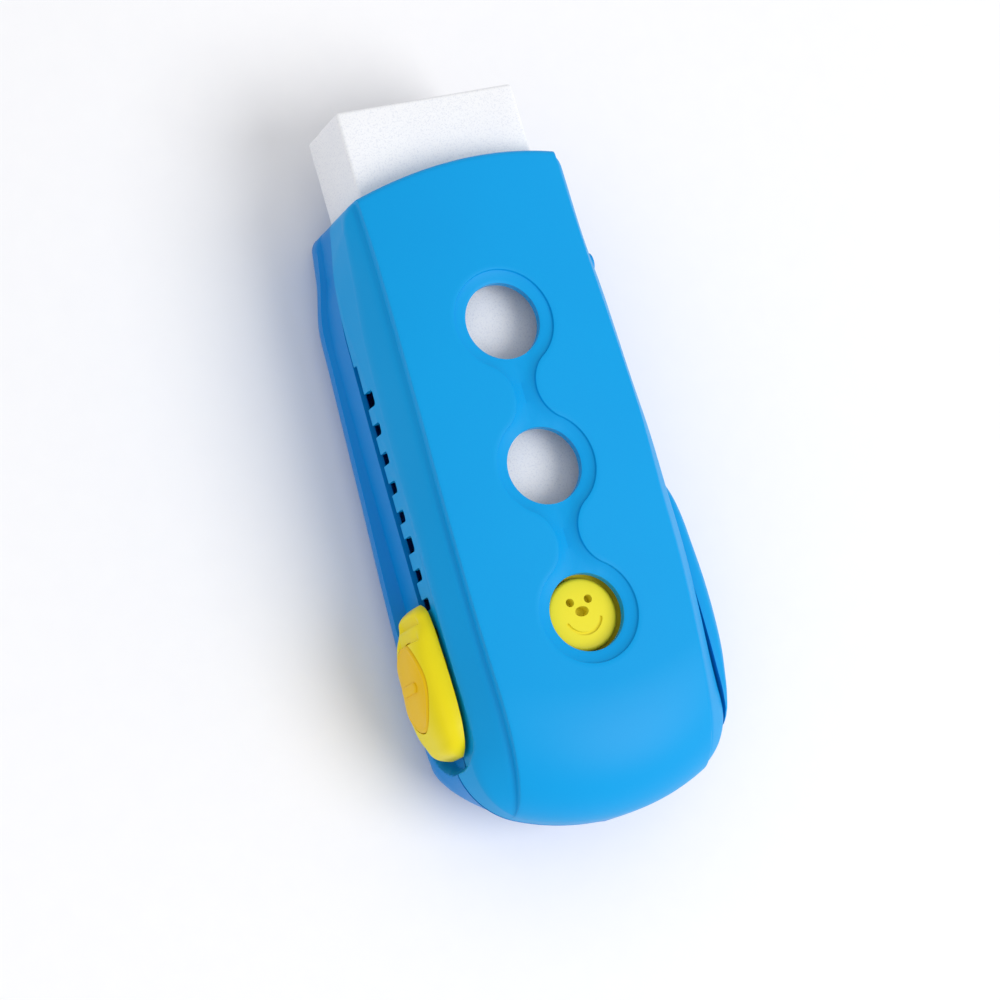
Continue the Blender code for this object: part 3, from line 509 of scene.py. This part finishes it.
def panelPoints(s, side):
    # from the foot of the crease down the band and the side to the parting line
    top = caseForm["top"]
    creaseX, creaseY, creaseZ = skinPoint(side, s)
    creaseX = abs(creaseX)
    share = min(max((creaseZ - caseForm["rollBase"]) / (19.5 - caseForm["rollBase"]), 0.0), 1.0)
    footZ = creaseZ - caseForm["creaseStep"] * min(share * 4, 1.0)
    edgeZ = caseForm["rollBase"] + (smoothAt(caseForm["edgeZ"], creaseY) - caseForm["rollBase"]) * share
    drop = roundDrop(top - s, caseForm["topRound"])
    partZ = caseForm["partingZ"] + gap / 2
    bend = smoothStep(caseForm["archFrom"], top, s)

    def placed(x, z):
        y = creaseY + (topY(side * x) - topY(side * creaseX)) * bend
        floor = smoothAt(caseForm["floor"], y)
        x -= max(x - floor, 0.0) * channelShare(y, z, side)
        return side * x, y, z

    shift = rightShift(creaseY) if side > 0 else 0.0
    edgeX = max(sideX(creaseY, 19.0, side) + shift, creaseX) - drop      # 19 is above the channel
    soft = caseForm["edgeSoft"] * share
    bandX = edgeX - caseForm["bandSoft"] * (edgeX - creaseX)
    bandZ = edgeZ + caseForm["bandSoft"] * (footZ - edgeZ)
    line = []
    for i in range(bandSteps):
        t = (i / (bandSteps - 1)) ** 1.6
        x = creaseX + 0.04 * share + (bandX - creaseX - 0.04 * share) * t
        groove = caseForm["grooveDepth"] * share * (1 - smoothStep(0.0, caseForm["grooveWidth"], x - creaseX))
        line.append((x, footZ + (bandZ - footZ) * t - groove))
    for i in range(1, 8):                                       # soft edge between band and side
        t = i / 7
        a, b, c = (1 - t) ** 2, 2 * t * (1 - t), t * t
        line.append((a * bandX + b * edgeX + c * edgeX, a * bandZ + b * edgeZ + c * (edgeZ - soft)))
    start, outline = edgeZ - soft, outlineHalf(creaseY)
    for i in range(1, sideSteps + 1):
        z = start + (partZ - start) * i / sideSteps
        sideways = outline + (edgeX + drop - outline) * (z - partZ) / max(start - partZ, 0.01)
        line.append((sideways - drop, z))
    return [placed(x, z) for x, z in line]


def frontShellForm():
    stations = rowStations(0.7)
    columns = [k / 16 for k in range(-15, 16)]
    fineColumns = [1 - d / 12.6 for d in (0.0, 0.05, 0.14, 0.3)]
    columns = sorted(columns + fineColumns + [-u for u in fineColumns], reverse=True)
    bm = bmesh.new()
    grid = []
    for s in stations:
        right = [bm.verts.new(p) for p in reversed(panelPoints(s, 1))]
        skin = [bm.verts.new(skinPoint(u, s)) for u in columns]
        left = [bm.verts.new(p) for p in panelPoints(s, -1)]
        grid.append(right + skin + left)
    panelCount = len(panelPoints(0.0, 1))
    first = panelCount + min(i for i, u in enumerate(columns) if u <= 9.01 / 16)
    last = panelCount + max(i for i, u in enumerate(columns) if u >= -9.01 / 16)
    top = min(i for i, s in enumerate(stations) if s <= 22.5)
    bottom = max(i for i, s in enumerate(stations) if s >= -28.3)
    for i in range(len(grid) - 1):
        for j in range(len(grid[0]) - 1):
            if top <= i < bottom and first <= j < last:
                continue
            bm.faces.new((grid[i][j], grid[i][j + 1], grid[i + 1][j + 1], grid[i + 1][j]))
    border = [grid[i][first] for i in range(top, bottom)]
    border += [grid[bottom][j] for j in range(first, last)]
    border += [grid[i][last] for i in range(bottom, top, -1)]
    border += [grid[top][j] for j in range(last, first, -1)]
    recessPatch(bm, border)
    # strip round the lower end, below the rolled skin
    lowest = grid[-1]
    skinRow = lowest[panelCount:panelCount + len(columns)]
    strip = []
    for k in range(panelCount):
        between = [bm.verts.new((v.co.x, v.co.y, lowest[k].co.z)) for v in skinRow[1:-1]]
        strip.append([lowest[k]] + between + [lowest[-1 - k]])
    strip.append(skinRow)
    for upper, lower in zip(strip, strip[1:]):
        for j in range(len(skinRow) - 1):
            bm.faces.new((upper[j], upper[j + 1], lower[j + 1], lower[j]))
    feet = capTop(bm, grid[0], caseForm["partingZ"] + gap / 2, panelCount)
    outline = [row[0] for row in grid] + strip[0][1:] + [row[-1] for row in reversed(grid[:-1])]
    bm.faces.new(outline + feet[-2:0:-1])
    bmesh.ops.remove_doubles(bm, verts=bm.verts, dist=0.002)
    bmesh.ops.dissolve_degenerate(bm, edges=bm.edges, dist=0.001)
    return bm


def rearRoll(y):
    # 1 along the flat back, falling to 0 round the lower end
    start = caseForm["rearRollStart"]
    return sqrt(max(1 - (max(start - y, 0.0) / (start - caseForm["bottom"] + 0.2)) ** 2, 0.0))


def rearRing(s):
    # section of the rear shell, from the right parting line round the back to the left one
    top, cornerZ, bulge = caseForm["top"], caseForm["rearCornerZ"], caseForm["rearBulge"]
    roll = rearRoll(s)
    lift = caseForm["rearRollHeight"] * (1 - roll)
    drop = roundDrop(top - s, caseForm["topRound"])
    partZ = caseForm["partingZ"] - gap / 2
    keep = outlineHalf(s) / fullHalf(s)
    corner = (caseForm["rearCorner"] + 5 * (1 - roll)) * keep
    bend = smoothStep(caseForm["archFrom"], top, s)
    taper, power = caseForm["rearTaper"]
    rings = {}
    for side in (1, -1):
        line = []
        for i in range(rearSteps["side"] + 1):
            z = partZ + (cornerZ - partZ) * i / rearSteps["side"]
            line.append((sideX(s, z, side) - drop, z))
        foot = line[-1][0]
        for i in range(1, rearSteps["corner"] + 1):
            angle = pi / 2 * i / rearSteps["corner"]
            fall = (cornerZ - drop) * sin(angle) ** bulge
            line.append((foot - corner * (1 - cos(angle) ** bulge), cornerZ - fall))
        inner, count = line[-1][0], rearSteps["floor"]
        line += [(inner * (1 - i / count), drop) for i in range(1, count if side < 0 else count + 1)]
        placed = []
        for x, z in line:
            y = s + (topY(side * x) - top) * bend
            depth = (partZ - z) / partZ
            placed.append((side * x * (1 - taper * (1 - keep) ** power * depth), y, z + lift * depth))
        rings[side] = placed
    return rings[1] + rings[-1][::-1]


def rearShellForm():
    stations = [s for s in rowStations(0.7) if s > caseForm["bottom"] + 0.05] + [caseForm["bottom"] + 0.02]
    bm = bmesh.new()
    grid = [[bm.verts.new(p) for p in rearRing(s)] for s in stations]
    for i in range(len(grid) - 1):
        for j in range(len(grid[0]) - 1):
            bm.faces.new((grid[i][j], grid[i][j + 1], grid[i + 1][j + 1], grid[i + 1][j]))
    bm.faces.new(grid[-1])
    sideCount = rearSteps["side"] + 1 + rearSteps["corner"]
    feet = capTop(bm, grid[0], caseForm["partingZ"] - gap / 2, sideCount)
    bm.faces.new([row[0] for row in grid] + [row[-1] for row in reversed(grid)] + feet[-2:0:-1])
    bmesh.ops.remove_doubles(bm, verts=bm.verts, dist=0.002)
    bmesh.ops.dissolve_degenerate(bm, edges=bm.edges, dist=0.001)
    return bm


chamber = {"high": 30.9, "pitch": 2.4, "low": -36.0, "lowYs": (-37.0, -38.0, -39.0, -39.8),
           "roofZ": 18.8, "roofWall": 1.3, "floorWall": 1.5, "taper": 9,
           # share of the half width and fall of the roof, then inset, rise and highest z of the lower corner
           "roof": ((0.0, 0.0), (0.3, 0.0), (0.6, 0.0), (0.85, 1.2), (0.97, 3.2), (1.0, 5.0)),
           "corner": ((0.0, 3.1, 9.8), (0.5, 1.7, 9.2), (1.6, 0.5, 8.6))}


def chamberForm():
    # hollow inside both shells
    rings = []
    for y in list(np.arange(chamber["high"], chamber["low"], -chamber["pitch"])) + list(chamber["lowYs"]):
        keep = outlineHalf(y) / fullHalf(y)
        side = min(smoothAt(caseForm["floor"], y), outlineHalf(y)) - caseForm["wall"]
        side -= chamber["taper"] * (1 - keep)
        roll = rearRoll(y)
        floorZ = chamber["floorWall"] + caseForm["rearRollHeight"] * (1 - roll)
        deep = 1.2 + (1 - roll) * 4
        half = []
        for share, fall in chamber["roof"]:
            z = min(chamber["roofZ"], skinZ(side * share, y) - chamber["roofWall"]) - fall
            half.append((side * share, max(z, 10.9)))
        half.append((side, caseForm["partingZ"]))
        half += [(side - inset * deep, min(floorZ + rise * deep, most))
                 for inset, rise, most in chamber["corner"]]
        half += [(side - 3.0 * deep, floorZ), (side * 0.3, floorZ), (0.0, floorZ)]
        rings.append([(x, y, z) for x, z in half] + [(-x, y, z) for x, z in reversed(half) if x > 1e-6])
    return loftMesh(rings)


def prismRowTree(name):
    # a row of rounded prisms: each runs along X, and the row runs along Y
    tree = bpy.data.node_groups.new(name, "GeometryNodeTree")
    kinds = {"Count": "NodeSocketInt", "Finish": "NodeSocketMaterial"}
    for label in ("Count", "Pitch", "First Y", "Near X", "Far X", "Middle Z", "Length", "Height", "Corner",
                  "Finish"):
        tree.interface.new_socket(label, in_out="INPUT", socket_type=kinds.get(label, "NodeSocketFloat"))
    tree.interface.new_socket("Geometry", in_out="OUTPUT", socket_type="NodeSocketGeometry")
    given = addNode(tree, "NodeGroupInput")
    near = addNode(tree, "ShaderNodeCombineXYZ", links={"X": (given, "Near X")})
    far = addNode(tree, "ShaderNodeCombineXYZ", links={"X": (given, "Far X")})
    path = addNode(tree, "GeometryNodeCurvePrimitiveLine", links={"Start": (near, 0), "End": (far, 0)})
    shape = addNode(tree, "GeometryNodeCurvePrimitiveQuadrilateral",
                    links={"Width": (given, "Length"), "Height": (given, "Height")})
    rounded = addNode(tree, "GeometryNodeFilletCurve", {"mode": "POLY"}, values={"Count": 4},
                      links={"Curve": (shape, "Curve"), "Radius": (given, "Corner")})
    prism = addNode(tree, "GeometryNodeCurveToMesh", values={"Fill Caps": True},
                    links={"Curve": (path, "Curve"), "Profile Curve": (rounded, "Curve")})
    back = addNode(tree, "ShaderNodeMath", {"operation": "MULTIPLY"}, values={1: -1.0},
                   links={0: (given, "Pitch")})
    step = addNode(tree, "ShaderNodeCombineXYZ", links={"Y": (back, 0)})
    start = addNode(tree, "ShaderNodeCombineXYZ", links={"Y": (given, "First Y"), "Z": (given, "Middle Z")})
    row = addNode(tree, "GeometryNodeMeshLine", {"mode": "OFFSET"},
                  links={"Count": (given, "Count"), "Start Location": (start, 0), "Offset": (step, 0)})
    copies = addNode(tree, "GeometryNodeInstanceOnPoints",
                     links={"Points": (row, "Mesh"), "Instance": (prism, "Mesh")})
    real = addNode(tree, "GeometryNodeRealizeInstances", links={"Geometry": (copies, "Instances")})
    finish = addNode(tree, "GeometryNodeSetMaterial",
                     links={"Geometry": (real, "Geometry"), "Material": (given, "Finish")})
    addNode(tree, "NodeGroupOutput", links={"Geometry": (finish, "Geometry")})
    return tree


def prismRow(name, look, sizes):
    piece = bpy.data.objects.new(name, bpy.data.meshes.new(name))
    bpy.context.scene.collection.objects.link(piece)
    step = piece.modifiers.new("row", "NODES")
    step.node_group = prismRowTree(name + " row")
    for socket in step.node_group.interface.items_tree:
        if socket.in_out == "INPUT":
            value = look if socket.name == "Finish" else sizes[socket.name]
            step[socket.identifier] = value if socket.name in ("Finish", "Count") else value * mm
    return settle(piece)


notches = {"Count": 11, "Pitch": 3.5, "First Y": 9.9, "Near X": -20.0, "Far X": -12.0,
           "Middle Z": 12.35, "Length": 1.45, "Height": 2.5, "Corner": 0.35}
stopNotches = {"Count": 2, "Pitch": 17.5, "First Y": 10.0, "Near X": -20.0, "Far X": -12.0,
               "Middle Z": 12.3, "Length": 1.9, "Height": 3.0, "Corner": 0.45}
fingerRibs = {"Count": 3, "Pitch": 5.6, "First Y": 20.7, "Near X": 13.4, "Far X": 15.88,
              "Middle Z": 10.4, "Length": 2.3, "Height": 8.2, "Corner": 1.1}
slot = {"bottom": -31.0, "top": 14.5, "low": 9.9, "high": 11.5, "nearX": -20, "farX": -12,
        # pocket behind it, which leaves a thin wall
        "wall": 0.6, "faceX": 15.65, "pocketX": -13.8, "pocketLow": 8.4, "pocketHigh": 14.8}
mouth = {"halfWidth": 11.65, "bottom": 28.9, "top": 37.4, "low": 4.45, "high": 16.25}


def makeShells():
    front = meshFrom(frontShellForm(), "caseFront", frontBlue)
    rear = meshFrom(rearShellForm(), "caseRear", rearBlue)
    half, partZ = mouth["halfWidth"], caseForm["partingZ"]
    for shell in (front, rear):
        opening = boxMesh((-half, mouth["bottom"], mouth["low"]), (half, mouth["top"], mouth["high"]))
        pocket = boxMesh((-slot["faceX"] + slot["wall"], slot["bottom"] - 0.6, slot["pocketLow"]),
                         (slot["pocketX"], slot["top"] + 0.4, slot["pocketHigh"]))
        cut(shell, [meshFrom(chamberForm(), "chamber"), meshFrom(opening, "mouth"),
                    meshFrom(pocket, "thinWall")])
        side = 1 if shell is front else -1
        ribs = prismRow("fingerRibs", shell.data.materials[0], fingerRibs)
        # each rib is shared between the shells, so it is cut off just short of their joint
        near, far = partZ + side * (gap / 2 + 0.02), partZ + side * 8
        keep = boxMesh((10, 0, min(near, far)), (20, 30, max(near, far)))
        cut(ribs, [meshFrom(keep, "ribHalf")], "INTERSECT")
        cut(shell, [ribs], "UNION")
    groove = boxMesh((slot["nearX"], slot["bottom"], slot["low"]), (slot["farX"], slot["top"], slot["high"]))
    cut(front, [meshFrom(groove, "slot"), prismRow("notches", frontBlue, notches),
                prismRow("stopNotches", frontBlue, stopNotches)])
    return smoothShade(front, 32), smoothShade(rear, 32)


caseFront, caseRear = makeShells()
print("case shells:", len(caseFront.data.polygons), "and", len(caseRear.data.polygons), "faces")


eraser = {"halfWidth": 11.35, "low": (-31.5, 4.75), "high": (43.4, 15.95), "edge": 0.45,
          "parts": (9, 28, 5)}            # even parts along x, y and z


def makeEraser():
    # cut block with softened edges
    bm = boxMesh((-eraser["halfWidth"], eraser["low"][0], eraser["low"][1]),
                 (eraser["halfWidth"], eraser["high"][0], eraser["high"][1]))
    for axis in (1, 0, 2):
        count = eraser["parts"][axis]
        low = min(v.co[axis] for v in bm.verts)
        high = max(v.co[axis] for v in bm.verts)
        for i in range(1, count):
            normal = Vector([1.0 if k == axis else 0.0 for k in range(3)])
            bmesh.ops.bisect_plane(bm, geom=bm.verts[:] + bm.edges[:] + bm.faces[:], plane_no=normal,
                                   plane_co=normal * (low + (high - low) * i / count))
    block = meshFrom(bm, "eraserBlock", whiteVinyl)
    edges = block.modifiers.new("softEdges", "BEVEL")
    edges.width = eraser["edge"] * mm
    edges.segments = 5
    edges.limit_method = "ANGLE"
    edges.angle_limit = radians(50)
    settle(block)
    return smoothShade(block, 30)


face = {"radius": 4.3, "low": 17.75, "high": 18.5, "edge": 0.5, "dome": 0.12, "pegRadius": 2.6, "pegZ": 16.4,
        "eyeRadius": 0.5, "eyeSpacing": 2.3, "eyeRise": 1.6, "eyeLow": 17.0,
        "noseHalf": (0.85, 0.6), "noseY": 0.35,
        "smileRadius": 2.25, "smileHalfWidth": 0.2, "smileDepth": 0.3, "smileEnds": (1.12, 1.88)}


def discHeight(r):
    t = face["radius"] - r
    return face["high"] - face["dome"] * (r / face["radius"]) ** 2 - roundDrop(t, face["edge"]) * 0.9


def prism(points, low, high):
    return loftMesh([[(x, y, z) for x, y in points] for z in (low, high)])


def makeFaceDisc():
    centreY = windowYs[-1]
    radii = [face["radius"] - t for t in (0.0, 0.03, 0.09, 0.18, 0.3, 0.42, 0.5, 0.8)]
    radii += [2.8, 2.0, 1.2, 0.5]
    # peg, underside, then the rounded edge and the domed front
    peg, low = face["pegRadius"], face["low"]
    levels = [(peg, face["pegZ"]), (peg, low), (face["radius"], low)] + [(r, discHeight(r)) for r in radii]
    rings = [[(x, y, z) for x, y in arc(0, centreY, r, 0, 2 * pi, 96)[:-1]] for r, z in levels]
    disc = meshFrom(loftMesh(rings), "faceDisc", discYellow)
    cutters = []
    for side in (-1, 1):
        eyeX, eyeY = side * face["eyeSpacing"] / 2, centreY + face["eyeRise"]
        eye = arc(eyeX, eyeY, face["eyeRadius"], 0, 2 * pi, 28)[:-1]
        cutters.append(meshFrom(prism(eye, face["eyeLow"], 20.0), "eye"))
    nose = [(face["noseHalf"][0] * cos(a), centreY + face["noseY"] + face["noseHalf"][1] * sin(a))
            for a in np.linspace(0, 2 * pi, 33)[:-1]]
    cutters.append(meshFrom(prism(nose, face["eyeLow"], 20.0), "nose"))
    middle, half = face["smileRadius"], face["smileHalfWidth"]
    a, b = (pi * end for end in face["smileEnds"])
    smile = arc(0, centreY, middle + half, a, b, 24)
    smile += arc(middle * cos(b), centreY + middle * sin(b), half, b, b + pi, 6)[1:-1]
    smile += arc(0, centreY, middle - half, b, a, 24)
    smile += arc(middle * cos(a), centreY + middle * sin(a), half, a + pi, a + 2 * pi, 6)[1:-1]
    cutters.append(meshFrom(prism(smile, face["high"] - face["smileDepth"], 20.0), "smile"))
    cut(disc, cutters)
    return smoothShade(disc, 35)


slider = {
    "halfWidth": ((-14.4, 2.3), (-15.2, 3.1), (-17, 3.8), (-20, 4.2), (-24, 4.5), (-27, 4.5), (-29.5, 4.1),
                  (-31.3, 3.2), (-32.4, 2.0)),
    "outer": ((-14.4, 17.3), (-15.3, 17.9), (-16.5, 18.1), (-18, 18.8), (-20, 19.3), (-23, 19.52),
              (-27, 19.45), (-30, 18.8), (-32, 17.7), (-32.4, 17.0)),
    "back": 16.3, "top": -14.4, "bottom": -32.4, "middleZ": 10.4,
    "squareness": (2.8, 5.0),         # towards the front and towards the rear
    "steps": (-16.7, -18.5), "stepDepth": 0.7, "stepLength": 1.5,
    "topRound": 1.3, "bottomRound": 0.6, "sectionSteps": 64,
    "footX": (-13.9, -13.15), "footY": (-30.7, -20.8), "footZ": (7.4, 13.4), "bladeZ": (10.55, 11.05),
    "foreBlade": 3.2, "aftBlade": 1.4, "bladeRoot": -17.0,
}
badge = {"middleY": -23.4, "middleZ": 10.0, "halfLength": 5.15, "halfWidth": 3.8, "rise": 0.1, "rim": 0.32,
         "rimStep": 0.07, "seatGap": 0.1, "seatDepth": 0.45, "thickness": 0.36, "barHalf": (2.2, 0.62)}


def thumbSteps(y, share):
    # two treads for the thumb: each falls sharply and comes back over its length
    depth = 0.0
    for stepY in slider["steps"]:
        along = y - stepY
        if 0 <= along < slider["stepLength"]:
            tread = min(along / 0.12, 1.0) * (1 - along / slider["stepLength"])
            depth = max(depth, slider["stepDepth"] * tread)
    return depth * (1 - smoothStep(0.62, 0.85, share))


def sliderHeight(y):
    return smoothAt(slider["outer"], y) - slider["back"]


def sliderFaceX(y, z):
    # thumb face at (y, z), measured out from the case's middle
    half = smoothAt(slider["halfWidth"], y)
    share = min(abs(z - slider["middleZ"]) / half, 1.0)
    n = slider["squareness"][0 if z > slider["middleZ"] else 1]
    return slider["back"] + (sliderHeight(y) - thumbSteps(y, share)) * (1 - share ** n) ** (1 / n)


def makeSlider():
    top, bottom, steps = slider["top"], slider["bottom"], slider["sectionSteps"]
    ys = [top - t for t in (0.0, 0.02, 0.06, 0.13, 0.22, 0.34, 0.48, 0.64, 0.82)]
    ys += list(np.arange(top - 1.0, top - 5.2, -0.1))
    ys += list(np.arange(ys[-1] - 0.3, bottom + 0.9, -0.35))
    ys += [bottom + t for t in (0.75, 0.5, 0.3, 0.15, 0.05, 0.0)]
    rings = []
    for y in ys:
        half = smoothAt(slider["halfWidth"], y)
        ends = roundDrop(top - y, slider["topRound"]) * 0.75 + roundDrop(y - bottom, slider["bottomRound"])
        ring = []
        for i in range(steps + 1):
            angle = pi * i / steps
            n = slider["squareness"][0 if angle < pi / 2 else 1]
            share = abs(cos(angle)) ** (2 / n)
            z = slider["middleZ"] + (half - ends * 0.8) * share * (1 if angle < pi / 2 else -1)
            height = 0.0
            if 0 < i < steps:
                height = (sliderHeight(y) - thumbSteps(y, share) - ends) * sin(angle) ** (2 / n)
            ring.append((-slider["back"] - height, y, z))
        low, high = ring[0][2], ring[-1][2]
        ring += [(-slider["back"], y, high + (low - high) * k / 6) for k in range(1, 6)]
        rings.append(ring)
    piece = meshFrom(loftMesh(rings), "thumbSlider", sliderYellow)
    length, width = badge["halfLength"] + badge["seatGap"], badge["halfWidth"] + badge["seatGap"]
    seat = [(badge["middleY"] + length * cos(a), badge["middleZ"] + width * sin(a))
            for a in np.linspace(0, 2 * pi, 97)[:-1]]
    depths = (-2.0, badge["seatDepth"])
    seatRings = [[(-sliderFaceX(y, z) + depth, y, z) for y, z in seat] for depth in depths]
    cut(piece, [meshFrom(loftMesh(seatRings), "badgeSeat")])
    # foot inside the case, and the two blades that reach it through the slot
    (x0, x1), (y0, y1), (z0, z1) = (slider[key] for key in ("footX", "footY", "footZ"))
    (low, high), root = slider["bladeZ"], slider["bladeRoot"]
    solids = [boxMesh((root, y1 - slider["foreBlade"], low), (x0 + 0.2, y1, high)),
              boxMesh((root, y0, low), (x0 + 0.2, y0 + slider["aftBlade"], high)),
              boxMesh((x0, y0, z0), (x1, y1, z1))]
    cut(piece, [meshFrom(solid, "foot") for solid in solids], "UNION")
    return smoothShade(piece, 38)


def badgeRise(share):
    # profile of the badge from its middle (0) to its edge (1), with a thin raised rim
    t = (1 - share) * badge["halfWidth"]
    rise = badge["rise"] - roundDrop(t, 0.25) * 0.9
    return rise - badge["rimStep"] * smoothStep(badge["rim"] - 0.08, badge["rim"] + 0.1, t)


def makeBadge():
    # oval inlay that follows the thumb face, with a thin rim and a plain round-ended bar
    shares = [1.0, 0.992, 0.975, 0.955, 0.935, 0.915, 0.895, 0.86, 0.78, 0.65, 0.5, 0.35, 0.2, 0.08]
    count = 96
    rings = []
    for share, level in [(0.08, "back"), (1.0, "back")] + [(s, "front") for s in shares]:
        ring = []
        for i in range(count):
            angle = 2 * pi * i / count
            y = badge["middleY"] + badge["halfLength"] * share * cos(angle)
            z = badge["middleZ"] + badge["halfWidth"] * share * sin(angle)
            rise = badgeRise(share) if level == "front" else -badge["thickness"]
            ring.append((-sliderFaceX(y, z) - rise, y, z))
        rings.append(ring)
    # the oval's darker orange yellow is painted shade, since the badge is the same yellow plastic as the
    # slider
    plate = meshFrom(loftMesh(rings), "sliderBadge", badgeYellow)
    length, width = badge["barHalf"]
    outline = arc(badge["middleY"], badge["middleZ"] + length - width, width, 0.0, pi, 10)
    outline += arc(badge["middleY"], badge["middleZ"] - length + width, width, pi, 2 * pi, 10)
    barRings = []
    for inset, rise in ((0.0, -0.2), (0.0, 0.14), (0.04, 0.2), (0.12, 0.24), (0.28, 0.26)):
        scaleY, scaleZ = 1 - inset / width, 1 - inset / length
        ring = []
        for y, z in outline:
            y = badge["middleY"] + (y - badge["middleY"]) * scaleY
            z = badge["middleZ"] + (z - badge["middleZ"]) * scaleZ
            ring.append((-sliderFaceX(y, z) - rise, y, z))
        barRings.append(ring)
    cut(plate, [meshFrom(loftMesh(barRings), "badgeBar")], "UNION")
    return smoothShade(plate, 40)


pad = {"top": -6.8, "bottom": -36.3, "middleZ": 10.4, "back": 16.1, "squareness": 2.8, "endRound": 0.4,
       "outer": ((-6.8, 16.9), (-8.5, 17.6), (-11, 18.15), (-15, 18.5), (-20, 18.7), (-24, 18.6),
                 (-28, 18.25), (-32, 17.4), (-35, 16.6), (-36.3, 16.3)),
       "halfWidth": ((-6.8, 3.9), (-9, 4.3), (-14, 4.5), (-30, 4.5), (-33, 4.2), (-35.2, 3.2), (-36.3, 1.8)),
       "sectionSteps": 48}


def makeGripPad():
    # moulded grip in the right-hand channel
    top, bottom, n, steps = pad["top"], pad["bottom"], pad["squareness"], pad["sectionSteps"]
    ys = [top - t for t in (0.0, 0.08, 0.25, 0.5, 0.9)] + list(np.arange(top - 1.4, bottom + 1.2, -0.6))
    ys += [bottom + t for t in (0.9, 0.5, 0.25, 0.08, 0.0)]
    rings = []
    for y in ys:
        ends = roundDrop(min(top - y, y - bottom), pad["endRound"])
        half = smoothAt(pad["halfWidth"], y) - ends * 0.5
        height = max(smoothAt(pad["outer"], y) - pad["back"] - ends, 0.05)
        ring = []
        for i in range(steps + 1):
            angle = pi * i / steps
            z = pad["middleZ"] + half * abs(cos(angle)) ** (2 / n) * (1 if angle < pi / 2 else -1)
            ring.append((pad["back"] + (height * sin(angle) ** (2 / n) if 0 < i < steps else 0.0), y, z))
        low, high = ring[0][2], ring[-1][2]
        ring += [(pad["back"], y, high + (low - high) * k / 6) for k in range(1, 6)]
        rings.append(ring)
    return smoothShade(meshFrom(loftMesh(rings), "gripPad", frontBlue), 40)


eraserBlock = makeEraser()
faceDisc = makeFaceDisc()
thumbSlider = makeSlider()
sliderBadge = makeBadge()
gripPad = makeGripPad()
print("moving pieces and grips modelled")

for piece, body, node, slotName in (
        (caseFront, "case", "front_shell", "front_blue"),
        (caseRear, "case", "rear_shell", "rear_blue"),
        (gripPad, "case", "grip_pad", "pad_blue"),
        (eraserBlock, "refill", "eraser_block", "white_vinyl"),
        (faceDisc, "carriage", "face_disc", "disc_yellow"),
        (thumbSlider, "carriage", "thumb_slider", "slider_yellow"),
        (sliderBadge, "carriage", "slider_badge", "badge_yellow")):
    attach(piece, body)
    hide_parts(node)
for node, look in (("eraser_holder", holderYellow), ("click_arm", armYellow)):
    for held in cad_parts[node].material_slots:
        held.material = look
print("pieces ride on their bodies")


# the floor is in millimetres, the places and sizes of the lights and the camera in metres
studio = {"floor": "#FAFAFC", "floorDrift": "#F7F7FA", "floorHalf": 1500.0, "world": 0.64,
          "key": {"place": (0.45, -0.42, 0.78), "size": 0.7, "power": 5.4, "tint": (1.0, 1.0, 1.0)},
          "fill": {"place": (-0.5, -0.3, 0.6), "size": 0.6, "power": 0.4, "tint": (0.97, 0.98, 1.0)},
          "middle": (0.0, 0.0, 0.01)}


def makeFloor():
    # matt painted studio sweep: pale, with a barely visible roller texture
    bm = bmesh.new()
    bmesh.ops.create_grid(bm, x_segments=8, y_segments=8, size=studio["floorHalf"],
                          matrix=Matrix.Translation((0.0, 0.0, -0.02)))
    made = bpy.data.materials.new("pale studio floor paint")
    made.use_nodes = True
    tree = made.node_tree
    shader = tree.nodes["Principled BSDF"]
    shader.inputs["Roughness"].default_value = 0.9
    shader.inputs["Specular IOR Level"].default_value = 0.1
    place = addNode(tree, "ShaderNodeTexCoord")
    roller = addNode(tree, "ShaderNodeTexNoise", values={"Scale": 1 / (3 * mm), "Detail": 2.0},
                     links={"Vector": (place, "Object")})
    tone = addNode(tree, "ShaderNodeMix", {"data_type": "RGBA"},
                   values={6: linearColour(studio["floor"]), 7: linearColour(studio["floorDrift"])},
                   links={0: (roller, "Fac")})
    tree.links.new(tone.outputs[2], shader.inputs["Base Color"])
    meshFrom(bm, "studioFloor", made)


def areaLight(name, lamp):
    light = bpy.data.lights.new(name, "AREA")
    light.shape = "DISK"
    light.size, light.energy, light.color = lamp["size"], lamp["power"], lamp["tint"]
    softBox = bpy.data.objects.new(name, light)
    softBox.location = lamp["place"]
    aim = Vector(studio["middle"]) - Vector(lamp["place"])
    softBox.rotation_euler = aim.to_track_quat("-Z", "Y").to_euler()
    bpy.context.scene.collection.objects.link(softBox)


makeFloor()
world = bpy.data.worlds.new("studio")
world.use_nodes = True
background = world.node_tree.nodes["Background"]
background.inputs["Color"].default_value = (1.0, 1.0, 1.0, 1.0)
background.inputs["Strength"].default_value = studio["world"]
bpy.context.scene.world = world
areaLight("keyLight", studio["key"])
areaLight("fillLight", studio["fill"])

camera = bpy.data.objects.new("camera", bpy.data.cameras.new("camera"))
camera.data.lens = 119.7
camera.data.sensor_width = 36.0
camera.data.clip_start = 0.01
camera.matrix_world = Matrix(((0.9001, 0.2009, -0.3867, -0.1523), (-0.2731, 0.9515, -0.1414, -0.0591),
                              (0.3395, 0.2329, 0.9113, 0.3634), (0.0, 0.0, 0.0, 1.0)))
bpy.context.scene.collection.objects.link(camera)
bpy.context.scene.camera = camera
bpy.context.scene.view_settings.view_transform = "Standard"
print("stage, lights and camera set")

bpy.context.view_layer.update()
